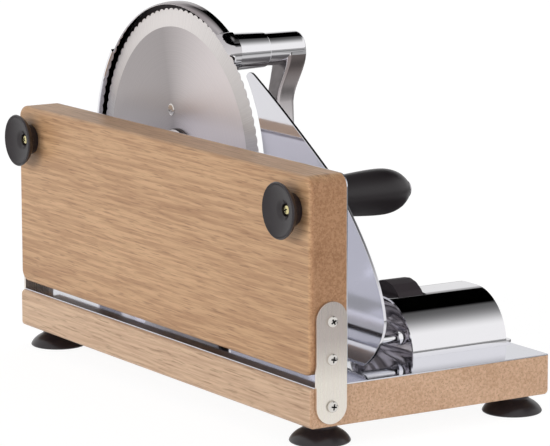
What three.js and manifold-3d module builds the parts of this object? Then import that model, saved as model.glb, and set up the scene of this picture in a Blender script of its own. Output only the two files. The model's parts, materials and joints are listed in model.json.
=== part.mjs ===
// Hand crank bread slicer on a wooden base, with a bread table that folds up in front of the blade.
// Millimetres, Z up. X runs along the base board, Y from the bread table to the crank handle.
// Everything is drawn from one datum: the left end of the boards is X = 0, the front face of the
// base board is Y = 0 and its underside is Z = 0. The last lines move the whole slicer so that its
// origin is under the middle of the space that it takes up, on the surface it stands on.

import * as THREE from 'three';
import { mergeVertices } from 'three/addons/utils/BufferGeometryUtils.js';
import Module from 'manifold-3d';

// Gaps and cuts
const runningGap = 0.3;
const overrun = 3;

// Boards
const boardLength = 360;
const baseDepth = 174.6;
const baseStock = 24.4;
const feedStock = 25.5;
const feedHeight = 119.2;
const foldGap = 6;
const sheetThickness = 0.8;
const baseEasing = 2.5;
const baseUnderEasing = 3;
const endChamfer = 0.8;
const feedCornerRadius = 8;
const feedFaceEasing = 3;

// Fold hinge at each end: a steel plate with two wood screws and one pivot screw
const plateThickness = 2;
const plateWidth = 21.4;
const plateLength = 73.7;
const pivotInset = 14;
const plateScrewPitch = 22.7;
const plateUpperScrewSetback = 1.2;

// Pan head screws
const screwHeadRadius = 3.6;
const screwHeadHeight = 2.2;
const screwShankRadius = 1.8;
const screwLength = 15;

// Rubber suction feet
const footHeight = 12.5;
const baseFootRadius = 18.6;
const feedFootRadius = 17.2;
const footNeckRadius = 9.8;
const footEndInset = 18;
const frontFootInset = 18.5;
const rearFootInset = 14.5;
const feedFootDrop = 21;
const footScrewHeadRadius = 3.2;
const footScrewSeat = 0.3;

// Blade with ground scalloped edge
const bladeRadius = 98;
const bladeThickness = 1.6;
const bladeFrontY = 49.8;
const bevelWidth = 11.9;
const edgeThickness = 0.25;
const toothCount = 98;
const toothDepth = 1.3;
const bladeFloorGap = 2.6;
const hubCapRadius = 20;
const hubCapHeight = 4.2;
const hubCapWall = 2.6;
const carrierRadius = 38;
const carrierThickness = 1.2;
const drivePinRadius = 3.2;
const drivePinCircle = 32.6;
const drivePinStartAngle = 104;
const drivePinCount = 3;
const drivePinHead = 0.7;
const sleeveWall = 4.5;
const axleRadius = 5.2;

// Housing: an arched plate with a guard rim round the teeth
const housingInset = 22.9;
const toothClearance = 2.4;
const rimThickness = 1.9;
const rimFrontY = 47.5;
const housingPlateFrontY = 55.5;
const housingPlateThickness = 2;
const rimStepAngle = 142;
const rimStepHeight = 0.8;
const rimSlopeWidth = 1.3;
const rimSlopeDepth = 5.5;
const housingShoulderInset = 13;
const housingFootShare = 0.621;
const housingFootDepth = 30;
const housingFootThickness = 3;
const gussetThickness = 4;
const gussetHeight = 34;

// Gears
const gearFrontY = 53;
const gearThickness = 4;
const pinionTeeth = 10;
const idlerTeeth = 40;
const bladeGearTeeth = 38;
const trainSlackShare = 0.0344;
const pressureAngle = 20;
const gearBacklash = 0.3;
const addendumShare = 0.85;
const dedendumShare = 1.15;
const gearCaseGap = 1.1;
const idlerPinRadius = 4;

// Crank
const crankAxisInset = 4.95;
const crankAxisAngle = 53.9;
const bossRadius = 10.5;
const bossEndY = 80;
const crankGuardRadius = 12;
const crankHubLength = 27.6;
const crankShaftShare = 2.8;
const crankThrow = 98.6;
const crankLean = 4.4;
const crankArmWidth = 13;
const crankArmThickness = 13.2;
const crankArmShoulder = 20.6;
const crankArmSet = 9.4;
const crankEyeRadius = 9.5;
const coverThickness = 2.5;
const coverFlange = 3.2;

// Handle
const gripRadius = 15.2;
const gripLength = 90;
const handlePinRadius = 4;
const handleCapRadius = 6.2;
const handleCapHeight = 2.6;

// Fence: a polished plate that slides along Y
const fenceFrontY = 52.5;
const fenceThickness = 2;
const fenceFloorGap = 3.1;
const fenceArcGap = 3.5;
const fenceTipAngle = 38.2;
const fenceHeelAngle = -55;
const fenceEndInset = 0.5;
const fenceTipRadius = 6;
const sliceRange = 18;

// Thickness adjuster under its hood
const hoodEndInset = 34.5;
const hoodWidth = 71.5;
const hoodFrontY = 97.3;
const hoodLength = 70.4;
const hoodHeight = 33.2;
const hoodWall = 1.2;
const hoodCornerRadius = 14;
const wheelRadius = 19.6;
const wheelWidth = 18.5;
const wheelFrontY = 105.5;
const wheelFloorGap = 1.4;
const wheelOffset = 28;
const wheelRibCount = 20;
const wheelRibDepth = 0.7;
const spindleRadius = 4;
const rodRadius = 2.9;
const rodHeight = 10.3;
const rodOffset = 29;
const rodFarOffset = 20.6;
const rodCollarRadius = 4.6;
const frameWall = 3.6;
const frameFloor = 1.1;
const frameFootDepth = 16;
const carriageThickness = 5;

// Worked out from the sizes above
const baseTop = baseStock + sheetThickness;
const feedThickness = feedStock + sheetThickness;
const feedBottom = baseTop + foldGap;
const feedTop = feedBottom + feedHeight;
const pivotY = pivotInset;
const pivotZ = baseTop - (feedThickness - pivotInset);
const rimInnerRadius = bladeRadius + toothClearance;
const rimOuterRadius = rimInnerRadius + rimThickness;
const bladeX = housingInset + rimOuterRadius;
const bladeZ = baseTop + bladeFloorGap + bladeRadius;
const bladeBackY = bladeFrontY + bladeThickness;
const housingBackY = housingPlateFrontY + housingPlateThickness;
const gearBackY = gearFrontY + gearThickness;
const crankDistance = bladeRadius - crankAxisInset;
const shoulderRadius = bladeRadius - housingShoulderInset;
const housingFootRight = bladeX + shoulderRadius * housingFootShare;
const trainTeeth = pinionTeeth + 2 * idlerTeeth + bladeGearTeeth;
const gearModule = (2 * crankDistance * (1 + trainSlackShare)) / trainTeeth;
const crankShaftRadius = gearModule * crankShaftShare;
const radians = THREE.MathUtils.degToRad;
const onCircle = (x, z, radius, angle) => new THREE.Vector2(
  x + radius * Math.cos(radians(angle)),
  z + radius * Math.sin(radians(angle)));
const crankAxis = onCircle(bladeX, bladeZ, crankDistance, crankAxisAngle);
const idlerToBlade = (gearModule * (idlerTeeth + bladeGearTeeth)) / 2;
const idlerToCrank = (gearModule * (idlerTeeth + pinionTeeth)) / 2;
const idlerBend = Math.acos((idlerToBlade ** 2 + crankDistance ** 2 - idlerToCrank ** 2)
  / (2 * idlerToBlade * crankDistance));
const idlerAngle = crankAxisAngle + THREE.MathUtils.radToDeg(idlerBend);
const idlerAxis = onCircle(bladeX, bladeZ, idlerToBlade, idlerAngle);
const handleAxis = onCircle(crankAxis.x, crankAxis.y, crankThrow, crankLean - 90);
const hubStartY = bossEndY + runningGap;
const hubEndY = hubStartY + crankHubLength;
const armBackY = hubEndY - crankArmSet;
const armFrontY = armBackY - crankArmThickness;
const coverBackY = housingBackY + coverThickness;
const hoodLeft = boardLength - hoodEndInset - hoodWidth;
const wheelX = hoodLeft + wheelOffset;
const wheelZ = baseTop + wheelFloorGap + wheelRadius;
const rodZ = baseTop + rodHeight;
const fenceBackY = fenceFrontY + fenceThickness;

// Finishes
const finish = (color, roughness, metalness) => new THREE.MeshStandardMaterial({ color, roughness, metalness });
const wood = finish('#c79f73', 0.6, 0);
const chrome = finish('#d9dadd', 0.08, 1);
const mirrorSteel = finish('#cfd3d8', 0.05, 1);
const brushedSteel = finish('#a79f9e', 0.32, 1);
const screwSteel = finish('#b9b7b4', 0.25, 1);
const gearSteel = finish('#8f9194', 0.45, 1);
const bronze = finish('#a67b45', 0.4, 1);
const blackRubber = finish('#23211f', 0.75, 0);
const blackPlastic = finish('#1d1c1d', 0.5, 0);
const whiteNylon = finish('#e4e2db', 0.5, 0);

// Solids: a closed mesh becomes a solid that can be joined and cut
const wasm = await Module();
wasm.setup();

function solid(geometry) {
  const bare = geometry.clone();
  bare.deleteAttribute('normal');
  bare.deleteAttribute('uv');
  const welded = mergeVertices(bare);
  const index = welded.index.array;
  const kept = [];
  for (let i = 0; i < index.length; i += 3) {
    const [a, b, c] = [index[i], index[i + 1], index[i + 2]];
    if (a !== b && b !== c && c !== a) kept.push(a, b, c);
  }
  return new wasm.Manifold(new wasm.Mesh({
    numProp: 3,
    vertProperties: new Float32Array(welded.attributes.position.array),
    triVerts: new Uint32Array(kept),
  }));
}

function geometryOf(body) {
  const mesh = body.getMesh();
  const geometry = new THREE.BufferGeometry();
  geometry.setAttribute('position', new THREE.BufferAttribute(new Float32Array(mesh.vertProperties), 3));
  geometry.setIndex(new THREE.BufferAttribute(new Uint32Array(mesh.triVerts), 1));
  return geometry;
}

const joined = (...bodies) => bodies.reduce((all, body) => all.add(body));
const cut = (body, ...tools) => tools.reduce((left, tool) => left.subtract(tool), body);

// A turned piece on an axis along Y through (x, z). Its profile is a list of [radius, y].
function turnedY(profile, x, z, segments = 32) {
  const points = profile.map(([radius, y]) => new THREE.Vector2(radius, y));
  return new THREE.LatheGeometry(points, segments).translate(x, 0, z);
}

const diskY = (radius, x, z, fromY, toY, segments = 32) => solid(
  turnedY([[0, fromY], [radius, fromY], [radius, toY], [0, toY]], x, z, segments));

function diskX(radius, y, z, fromX, toX, segments = 12) {
  const bar = new THREE.CylinderGeometry(radius, radius, toX - fromX, segments);
  return solid(bar.rotateZ(Math.PI / 2).translate((fromX + toX) / 2, y, z));
}

function diskZ(radius, x, y, fromZ, toZ, segments = 12) {
  const bar = new THREE.CylinderGeometry(radius, radius, toZ - fromZ, segments);
  return solid(bar.rotateX(Math.PI / 2).translate(x, y, (fromZ + toZ) / 2));
}

const blockOf = (from, to) => solid(new THREE.BoxGeometry(to[0] - from[0], to[1] - from[1], to[2] - from[2])
  .translate((from[0] + to[0]) / 2, (from[1] + to[1]) / 2, (from[2] + to[2]) / 2));

// An outline drawn in X and Z, given a thickness along Y
function plateXZ(shape, fromY, toY, options = {}) {
  const { easing = 0, curveSegments = 12, bevelSegments = 2 } = options;
  const geometry = new THREE.ExtrudeGeometry(shape, {
    depth: toY - fromY - 2 * easing,
    bevelEnabled: easing > 0,
    bevelThickness: easing,
    bevelSize: easing,
    bevelOffset: -easing,
    bevelSegments,
    curveSegments,
  });
  return geometry.rotateX(Math.PI / 2).translate(0, toY - easing, 0);
}

// An outline drawn in Y and Z, given a length along X
function barYZ(shape, fromX, toX, options = {}) {
  const { chamfer = 0, curveSegments = 6 } = options;
  const geometry = new THREE.ExtrudeGeometry(shape, {
    depth: toX - fromX - 2 * chamfer,
    bevelEnabled: chamfer > 0,
    bevelThickness: chamfer,
    bevelSize: chamfer,
    bevelOffset: -chamfer,
    bevelSegments: 1,
    curveSegments,
  });
  return geometry.rotateX(Math.PI / 2).rotateZ(Math.PI / 2).translate(fromX + chamfer, 0, 0);
}

function roundedBox(left, bottom, right, top, radii) {
  const [lowLeft, lowRight, highRight, highLeft] = radii;
  const quarter = Math.PI / 2;
  const shape = new THREE.Shape();
  shape.moveTo(left + lowLeft, bottom);
  shape.lineTo(right - lowRight, bottom);
  if (lowRight > 0) shape.absarc(right - lowRight, bottom + lowRight, lowRight, -quarter, 0, false);
  shape.lineTo(right, top - highRight);
  if (highRight > 0) shape.absarc(right - highRight, top - highRight, highRight, 0, quarter, false);
  shape.lineTo(left + highLeft, top);
  if (highLeft > 0) shape.absarc(left + highLeft, top - highLeft, highLeft, quarter, 2 * quarter, false);
  shape.lineTo(left, bottom + lowLeft);
  if (lowLeft > 0) shape.absarc(left + lowLeft, bottom + lowLeft, lowLeft, 2 * quarter, 3 * quarter, false);
  return shape;
}

function circle(x, y, radius) {
  const shape = new THREE.Shape();
  shape.absarc(x, y, radius, 0, 2 * Math.PI, false);
  return shape;
}

// Assembly: each moving body is a group, and each piece a named mesh in it
const slicer = new THREE.Group();
const bodies = {};
for (const name of ['base', 'feed_table', 'blade', 'idler', 'crank', 'handle', 'fence', 'thumbwheel']) {
  bodies[name] = new THREE.Group();
  bodies[name].name = `${name}_body`;
  slicer.add(bodies[name]);
}

function piece(bodyName, name, shape, material) {
  const geometry = geometryOf(shape.isBufferGeometry ? solid(shape) : shape);
  const mesh = new THREE.Mesh(geometry, material);
  mesh.name = name;
  bodies[bodyName].add(mesh);
}

// Pan head screws that point along an axis. Place is the seat of the head on the surface.
const screwSides = 8;

function screwGeometry(direction, place, sizes = {}) {
  const { head = screwHeadRadius, height = screwHeadHeight, shank = screwShankRadius, length = screwLength } = sizes;
  const points = [[0, -length], [shank, -length + shank], [shank, 0],
    [head, 0], [head * 0.92, height * 0.6], [0, height]];
  const lathe = new THREE.LatheGeometry(points.map(([r, y]) => new THREE.Vector2(r, y)), screwSides);
  const out = new THREE.Vector3(...direction);
  lathe.applyQuaternion(new THREE.Quaternion().setFromUnitVectors(new THREE.Vector3(0, 1, 0), out));
  return lathe.translate(...place);
}

// Like pieces of one body, numbered from 1
function pieces(bodyName, name, shapes, material) {
  shapes.forEach((shape, i) => piece(bodyName, `${name}_${i + 1}`, shape, material));
}

const pilotRadius = screwShankRadius + runningGap;
const pilotDepth = screwLength + runningGap;

// Base board with its polished tray sheet
const rearFootY = baseDepth - rearFootInset;
const footPlaces = [
  ['base_foot_front_left', footEndInset, frontFootInset],
  ['base_foot_front_right', boardLength - footEndInset, frontFootInset],
  ['base_foot_rear_left', footEndInset, rearFootY],
  ['base_foot_rear_right', boardLength - footEndInset, rearFootY],
];
const housingScrewSetback = 8;
const housingScrewInset = 14;
const housingScrewY = housingBackY + housingFootDepth - housingScrewSetback;
const housingScrewPlaces = [
  [housingInset + housingScrewInset, housingScrewY],
  [housingFootRight - housingScrewInset, housingScrewY],
  [(housingInset + housingFootRight) / 2, housingScrewY],
];
const hoodBackY = hoodFrontY + hoodLength;
const hoodRight = hoodLeft + hoodWidth;
const frameFrontY = wheelFrontY - runningGap - frameWall;
const frameRearY = wheelFrontY + wheelWidth + runningGap;
const hoodTop = baseTop + hoodHeight;

// Outline of the hood, drawn in from its skin: square to the left, a quarter round to the right
function hoodShape(inset) {
  const left = hoodLeft + inset;
  const right = hoodRight - inset;
  const top = hoodTop - inset;
  const round = hoodHeight - inset;
  const corner = hoodCornerRadius - inset;
  const shape = new THREE.Shape();
  shape.moveTo(left, baseTop);
  shape.lineTo(right, baseTop);
  shape.absellipse(right - round, baseTop, round, round, 0, Math.PI / 2, false);
  shape.lineTo(left + corner, top);
  shape.absarc(left + corner, top - corner, corner, Math.PI / 2, Math.PI, false);
  shape.lineTo(left, baseTop);
  return shape;
}

const hoodEarDepth = 9;
const hoodEarThickness = 1.6;
const hoodScrewPlaces = [
  [hoodLeft + hoodWidth * 0.25, hoodBackY + hoodEarDepth / 2],
  [hoodLeft + hoodWidth * 0.75, hoodBackY + hoodEarDepth / 2],
];
const boardScrewPlaces = [...housingScrewPlaces, ...hoodScrewPlaces];
const pilotsFromTop = boardScrewPlaces.map(([x, y]) => diskZ(
  pilotRadius, x, y, baseTop - pilotDepth, baseTop + overrun, 8));
const footShank = 11;
const footPilots = footPlaces.map(([, x, y]) => diskZ(pilotRadius, x, y, -overrun, footShank, 8));
const baseLeft = runningGap;
const baseRight = boardLength - runningGap;
const basePilots = [
  diskX(pilotRadius, pivotY, pivotZ, -overrun, pilotDepth, 8),
  diskX(pilotRadius, pivotY, pivotZ, boardLength - pilotDepth, boardLength + overrun, 8),
];
const baseProfile = roundedBox(0, 0, baseDepth, baseStock, [baseUnderEasing, baseUnderEasing, 0, baseEasing]);
piece('base', 'base_board', cut(
  solid(barYZ(baseProfile, baseLeft, baseRight, { chamfer: endChamfer })),
  ...pilotsFromTop, ...footPilots, ...basePilots), wood);
const traySheet = blockOf([baseLeft, baseEasing, baseStock], [baseRight, baseDepth, baseTop]);
piece('base', 'base_sheet', cut(traySheet, ...pilotsFromTop), mirrorSteel);

// Suction feet: a neck, a domed skirt and a rounded lip round a flat cup, with a screw up the middle
const footSkirtShares = [[0.68, 0.42], [0.87, 0.6], [1, 0.9]];
const footLipShares = [[0.96, 1], [0.89, 1], [0.75, 0.62]];
const footHoleRadius = 5.2;
const footProfile = (radius, height) => [
  [footHoleRadius, -height * 0.62],
  ...[...footLipShares].reverse().map(([wide, down]) => [radius * wide, -height * down]),
  ...[...footSkirtShares].reverse().map(([wide, down]) => [radius * wide, -height * down]),
  [footNeckRadius, -height * 0.3], [footNeckRadius, 0],
  [pilotRadius, 0], [pilotRadius, -height * footScrewSeat],
  [footHoleRadius, -height * footScrewSeat], [footHoleRadius, -height * 0.62],
];
function foot(radius, height) {
  const points = footProfile(radius, height).map(([r, y]) => new THREE.Vector2(r, y));
  return new THREE.LatheGeometry(points, 14);
}
const footScrews = [];
for (const [name, x, y] of footPlaces) {
  piece('base', name, foot(baseFootRadius, footHeight).rotateX(Math.PI / 2).translate(x, y, 0), blackRubber);
  footScrews.push(screwGeometry([0, 0, -1], [x, y, -footHeight * footScrewSeat],
    { head: footScrewHeadRadius, length: footShank }));
}
pieces('base', 'base_foot_screw', footScrews, screwSteel);

// Bread table: board, sheet, hinge plates, feet and screws
const feedFootHeight = footHeight + pivotZ - pivotY;
const feedFootZ = feedTop - feedFootDrop;
const feedFootPlaces = [
  ['feed_foot_left', footEndInset],
  ['feed_foot_right', boardLength - footEndInset],
];
const plateTopZ = pivotZ - plateWidth / 2 + plateLength;
const plateUpperScrewZ = plateTopZ - plateWidth / 2 - plateUpperScrewSetback;
const plateScrewHeights = [plateUpperScrewZ, plateUpperScrewZ - plateScrewPitch];
const feedPilots = [];
for (const z of plateScrewHeights) {
  feedPilots.push(diskX(pilotRadius, pivotY, z, -overrun, pilotDepth, 8));
  feedPilots.push(diskX(pilotRadius, pivotY, z, boardLength - pilotDepth, boardLength + overrun, 8));
}
for (const [, x] of feedFootPlaces) {
  feedPilots.push(diskY(pilotRadius, x, feedFootZ, -overrun, footShank, 8));
}
const feedOutline = roundedBox(0, feedBottom, boardLength, feedTop, Array(4).fill(feedCornerRadius));
const feedBlank = solid(plateXZ(feedOutline, 0, feedStock + feedFaceEasing, {
  easing: feedFaceEasing, curveSegments: 4, bevelSegments: 2,
}));
const behindFeed = blockOf(
  [-overrun, feedStock, feedBottom - overrun],
  [boardLength + overrun, feedStock + feedFaceEasing + overrun, feedTop + overrun]);
piece('feed_table', 'feed_board', cut(feedBlank, behindFeed, ...feedPilots), wood);
piece('feed_table', 'feed_sheet', plateXZ(feedOutline, feedStock, feedThickness, { curveSegments: 4 }), mirrorSteel);

const plateEasing = 0.4;
const hingeSides = [['hinge_plate_left', -plateThickness, -1], ['hinge_plate_right', boardLength, 1]];
const plateScrews = [];
const pivotScrews = [];
const plateOutline = roundedBox(
  pivotY - plateWidth / 2, plateTopZ - plateLength,
  pivotY + plateWidth / 2, plateTopZ, Array(4).fill(plateWidth / 2));
for (const [name, fromX, side] of hingeSides) {
  const blank = solid(barYZ(plateOutline, fromX, fromX + plateThickness, { chamfer: plateEasing, curveSegments: 4 }));
  const holes = [pivotZ, ...plateScrewHeights].map((z) => diskX(
    pilotRadius, pivotY, z, fromX - overrun, fromX + plateThickness + overrun, 8));
  piece('feed_table', name, cut(blank, ...holes), brushedSteel);
  const outerX = side < 0 ? fromX : fromX + plateThickness;
  for (const z of plateScrewHeights) plateScrews.push(screwGeometry([side, 0, 0], [outerX, pivotY, z]));
  pivotScrews.push(screwGeometry([side, 0, 0], [outerX + side * runningGap, pivotY, pivotZ]));
}
pieces('feed_table', 'hinge_plate_screw', plateScrews, screwSteel);
pieces('base', 'hinge_pivot_screw', pivotScrews, screwSteel);

const feedFootScrews = [];
for (const [name, x] of feedFootPlaces) {
  piece('feed_table', name, foot(feedFootRadius, feedFootHeight).translate(x, 0, feedFootZ), blackRubber);
  feedFootScrews.push(screwGeometry([0, -1, 0], [x, -feedFootHeight * footScrewSeat, feedFootZ],
    { head: footScrewHeadRadius, length: footShank - runningGap }));
}
pieces('feed_table', 'feed_foot_screw', feedFootScrews, screwSteel);

// Blade: a scalloped disk ground to a bevel on the front
const toothPoints = 3;
function bladeOutline() {
  const points = [];
  const steps = toothCount * toothPoints;
  for (let i = 0; i < steps; i += 1) {
    const lobe = Math.sin((Math.PI * (i % toothPoints)) / toothPoints) ** 0.7;
    const angle = (2 * Math.PI * i) / steps;
    const radius = bladeRadius - toothDepth * (1 - lobe);
    points.push(new THREE.Vector2(bladeX + radius * Math.cos(angle), bladeZ + radius * Math.sin(angle)));
  }
  return new THREE.Shape(points);
}
const bladeSteel = solid(plateXZ(bladeOutline(), bladeFrontY, bladeBackY));
const grind = solid(turnedY([
  [0, bladeFrontY], [bladeRadius - bevelWidth, bladeFrontY],
  [bladeRadius, bladeBackY - edgeThickness], [bladeRadius, bladeBackY], [0, bladeBackY],
], bladeX, bladeZ, 56));
const drivePinAngles = Array.from({ length: drivePinCount }, (_, i) => drivePinStartAngle + (360 / drivePinCount) * i);
const drivePinShank = drivePinRadius * 0.6;
const carrierBackY = bladeBackY + carrierThickness;
const pinHoles = drivePinAngles.map((angle) => {
  const place = onCircle(bladeX, bladeZ, drivePinCircle, angle);
  return diskY(drivePinShank + runningGap, place.x, place.y, bladeFrontY - overrun, carrierBackY + overrun, 8);
});
const sleeveRadius = axleRadius + runningGap + sleeveWall;
piece('blade', 'blade', cut(
  bladeSteel.intersect(grind),
  diskY(sleeveRadius + runningGap, bladeX, bladeZ, bladeFrontY - overrun, bladeBackY + overrun, 20),
  ...pinHoles), brushedSteel);
const drivePins = drivePinAngles.map((angle) => {
  const place = onCircle(bladeX, bladeZ, drivePinCircle, angle);
  const headBackY = bladeFrontY - runningGap * 0.1;
  const frontY = headBackY - drivePinHead;
  return solid(turnedY([
    [0, frontY], [drivePinRadius * 0.8, frontY], [drivePinRadius, headBackY],
    [drivePinShank, headBackY], [drivePinShank, carrierBackY], [0, carrierBackY],
  ], place.x, place.y, 8));
});

// Blade carrier: a disk and sleeve that turn on the fixed axle and carry the blade gear,
// with pins riveted through the blade
const sleeveEndY = coverBackY - coverThickness - runningGap;
const axleHeadThickness = 1.4;
const axleHeadRadius = hubCapRadius - hubCapWall - runningGap * 3;
piece('blade', 'blade_carrier', cut(
  joined(
    diskY(carrierRadius, bladeX, bladeZ, bladeBackY, carrierBackY, 30),
    diskY(sleeveRadius, bladeX, bladeZ, bladeFrontY, sleeveEndY, 20),
    ...drivePins),
  diskY(axleRadius + runningGap, bladeX, bladeZ, bladeFrontY - overrun, sleeveEndY + overrun, 16)), gearSteel);
const capFrontY = bladeFrontY - hubCapHeight;
const capInside = bladeFrontY - hubCapHeight + hubCapWall * 0.5;
piece('blade', 'blade_hub_cap', turnedY([
  [0, capFrontY], [hubCapRadius * 0.84, capFrontY],
  [hubCapRadius, capFrontY + hubCapHeight * 0.4], [hubCapRadius, bladeFrontY],
  [hubCapRadius - hubCapWall, bladeFrontY], [hubCapRadius - hubCapWall, capInside], [0, capInside],
], bladeX, bladeZ, 24), brushedSteel);

// Spur gears with involute flanks
function gearShape(x, z, teeth, phase) {
  const pitchRadius = (gearModule * teeth) / 2;
  const baseRadius = pitchRadius * Math.cos(radians(pressureAngle));
  const tipRadius = pitchRadius + gearModule * addendumShare;
  const rootRadius = pitchRadius - gearModule * dedendumShare;
  const involute = (radius) => {
    const ratio = Math.max(radius / baseRadius, 1);
    const roll = Math.sqrt(ratio * ratio - 1);
    return roll - Math.atan(roll);
  };
  const halfPitchAngle = Math.PI / (2 * teeth) - gearBacklash / (4 * pitchRadius);
  const halfAngleAt = (radius) => halfPitchAngle + involute(pitchRadius) - involute(radius);
  const flankRadii = [rootRadius, tipRadius];
  const shape = [];
  for (let tooth = 0; tooth < teeth; tooth += 1) {
    const middle = phase + (2 * Math.PI * tooth) / teeth;
    const rise = flankRadii.map((radius) => [radius, middle - halfAngleAt(radius)]);
    const fall = flankRadii.map((radius) => [radius, middle + halfAngleAt(radius)]).reverse();
    for (const [radius, angle] of [...rise, ...fall]) {
      shape.push(new THREE.Vector2(x + radius * Math.cos(angle), z + radius * Math.sin(angle)));
    }
  }
  return new THREE.Shape(shape);
}

// The phase that puts a gap of the driven gear on a tooth of the driving gear, and so in mesh
function meshPhase(phase, teeth, drivenTeeth, directionDegrees) {
  const direction = radians(directionDegrees);
  return direction + Math.PI - ((phase - direction) * teeth) / drivenTeeth - Math.PI / drivenTeeth;
}
const directionTo = (from, to) => THREE.MathUtils.radToDeg(Math.atan2(to.y - from.y, to.x - from.x));
const bladeGearPhase = 0;
const idlerPhase = meshPhase(bladeGearPhase, bladeGearTeeth, idlerTeeth, idlerAngle);
const pinionPhase = meshPhase(idlerPhase, idlerTeeth, pinionTeeth, directionTo(idlerAxis, crankAxis));
const gearBlank = (x, z, teeth, phase) => solid(plateXZ(gearShape(x, z, teeth, phase), gearFrontY, gearBackY));

piece('blade', 'blade_gear', cut(
  gearBlank(bladeX, bladeZ, bladeGearTeeth, bladeGearPhase),
  diskY(sleeveRadius + runningGap, bladeX, bladeZ, gearFrontY - overrun, gearBackY + overrun, 20)), whiteNylon);
piece('idler', 'idler_gear', cut(
  gearBlank(idlerAxis.x, idlerAxis.y, idlerTeeth, idlerPhase),
  diskY(idlerPinRadius + runningGap, idlerAxis.x, idlerAxis.y, gearFrontY - overrun, gearBackY + overrun, 16)),
whiteNylon);
piece('crank', 'crank_pinion', cut(
  gearBlank(crankAxis.x, crankAxis.y, pinionTeeth, pinionPhase),
  diskY(crankShaftRadius + runningGap, crankAxis.x, crankAxis.y, gearFrontY - overrun, gearBackY + overrun, 16)),
gearSteel);

// Housing: arched plate, guard rim, foot and gussets, with a window for the gears
const gearReach = (teeth) => (gearModule * teeth) / 2 + gearModule * addendumShare + gearCaseGap;
const footAngle = -Math.acos((housingFootRight - bladeX) / shoulderRadius);
const archShape = new THREE.Shape();
archShape.moveTo(housingInset, baseTop);
archShape.lineTo(housingFootRight, baseTop);
archShape.absarc(bladeX, bladeZ, shoulderRadius, footAngle, radians(crankAxisAngle), false);
archShape.absarc(bladeX, bladeZ, rimOuterRadius, radians(crankAxisAngle), radians(rimStepAngle), false);
archShape.absarc(bladeX, bladeZ, rimOuterRadius, radians(rimStepAngle), Math.PI, false);
archShape.lineTo(housingInset, baseTop);

function rimShape(fromAngle, toAngle, innerRadius, outerRadius, legs) {
  const shape = new THREE.Shape();
  const start = onCircle(bladeX, bladeZ, innerRadius, fromAngle);
  shape.moveTo(start.x, start.y);
  shape.absarc(bladeX, bladeZ, outerRadius, radians(fromAngle), radians(toAngle), false);
  if (legs) {
    shape.lineTo(bladeX - outerRadius, baseTop);
    shape.lineTo(bladeX - innerRadius, baseTop);
  }
  shape.absarc(bladeX, bladeZ, innerRadius, radians(toAngle), radians(fromAngle), true);
  return shape;
}
const rimCurve = { curveSegments: 18 };
// The front edge of a rim or tab slopes back to its outer face. It is cropped out of a turned blank.
const slopedDisk = (radius, x, z, frontY, segments) => solid(turnedY([
  [0, frontY], [radius - rimSlopeWidth, frontY], [radius, frontY + rimSlopeDepth],
  [radius, housingBackY], [0, housingBackY]], x, z, segments));
const upperRim = solid(plateXZ(
  rimShape(crankAxisAngle, rimStepAngle, rimInnerRadius, rimOuterRadius + overrun, false),
  rimFrontY, housingBackY, rimCurve)).intersect(slopedDisk(rimOuterRadius, bladeX, bladeZ, rimFrontY, 72));
const lowerRim = solid(plateXZ(
  rimShape(rimStepAngle, 180, rimInnerRadius, rimOuterRadius + rimStepHeight, true),
  rimFrontY - rimStepHeight, housingBackY, rimCurve));
const toothSweep = diskY(rimInnerRadius, bladeX, bladeZ, rimFrontY - overrun, bladeBackY + runningGap * 3, 64);
const crankGuard = slopedDisk(crankGuardRadius, crankAxis.x, crankAxis.y, rimFrontY, 24).subtract(toothSweep);
const gearWindow = [
  diskY(gearReach(bladeGearTeeth), bladeX, bladeZ, bladeBackY, housingBackY + overrun, 24),
  diskY(gearReach(idlerTeeth), idlerAxis.x, idlerAxis.y, bladeBackY, housingBackY + overrun, 24),
  diskY(gearReach(pinionTeeth), crankAxis.x, crankAxis.y, gearFrontY - runningGap * 2, housingBackY + overrun, 16),
];
const housingFlange = blockOf(
  [housingInset, housingPlateFrontY, baseTop],
  [housingFootRight, housingBackY + housingFootDepth, baseTop + housingFootThickness]);
const gussetShape = new THREE.Shape([
  new THREE.Vector2(housingPlateFrontY, baseTop),
  new THREE.Vector2(housingBackY + housingFootDepth * 0.8, baseTop),
  new THREE.Vector2(housingBackY + housingFootDepth * 0.8, baseTop + housingFootThickness * 2),
  new THREE.Vector2(housingBackY, baseTop + gussetHeight),
  new THREE.Vector2(housingPlateFrontY, baseTop + gussetHeight),
]);
const gussetPlaces = [
  housingInset + housingScrewInset * 2,
  housingFootRight - housingScrewInset * 2 - gussetThickness,
];
const gussets = gussetPlaces.map((x) => solid(barYZ(gussetShape, x, x + gussetThickness)));
const housingPilots = housingScrewPlaces.map(([x, y]) => diskZ(
  pilotRadius, x, y, baseTop - overrun, baseTop + housingFootThickness + overrun, 8));
const coverScrewShank = 1.3;
const coverScrewLength = housingPlateThickness - runningGap;
const coverBladeRadius = gearReach(bladeGearTeeth) + coverFlange * 2;
const coverIdlerRadius = gearReach(idlerTeeth) + coverFlange;
const coverScrewCircle = coverBladeRadius - coverFlange * 0.9;
const coverScrewAngles = [150, 240, 330];
const coverScrewPlaces = coverScrewAngles.map((angle) => onCircle(bladeX, bladeZ, coverScrewCircle, angle));
const coverScrewHoles = (fromY, toY) => coverScrewPlaces.map((place) => diskY(
  coverScrewShank + runningGap, place.x, place.y, fromY, toY, 8));
piece('base', 'housing', cut(
  joined(
    solid(plateXZ(archShape, housingPlateFrontY, housingBackY, rimCurve)),
    upperRim, lowerRim, crankGuard, housingFlange, ...gussets),
  ...gearWindow, ...housingPilots,
  ...coverScrewHoles(housingPlateFrontY - overrun, housingBackY + overrun)), chrome);
pieces('base', 'housing_screw', housingScrewPlaces.map(([x, y]) => screwGeometry(
  [0, 0, 1], [x, y, baseTop + housingFootThickness])), screwSteel);

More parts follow.
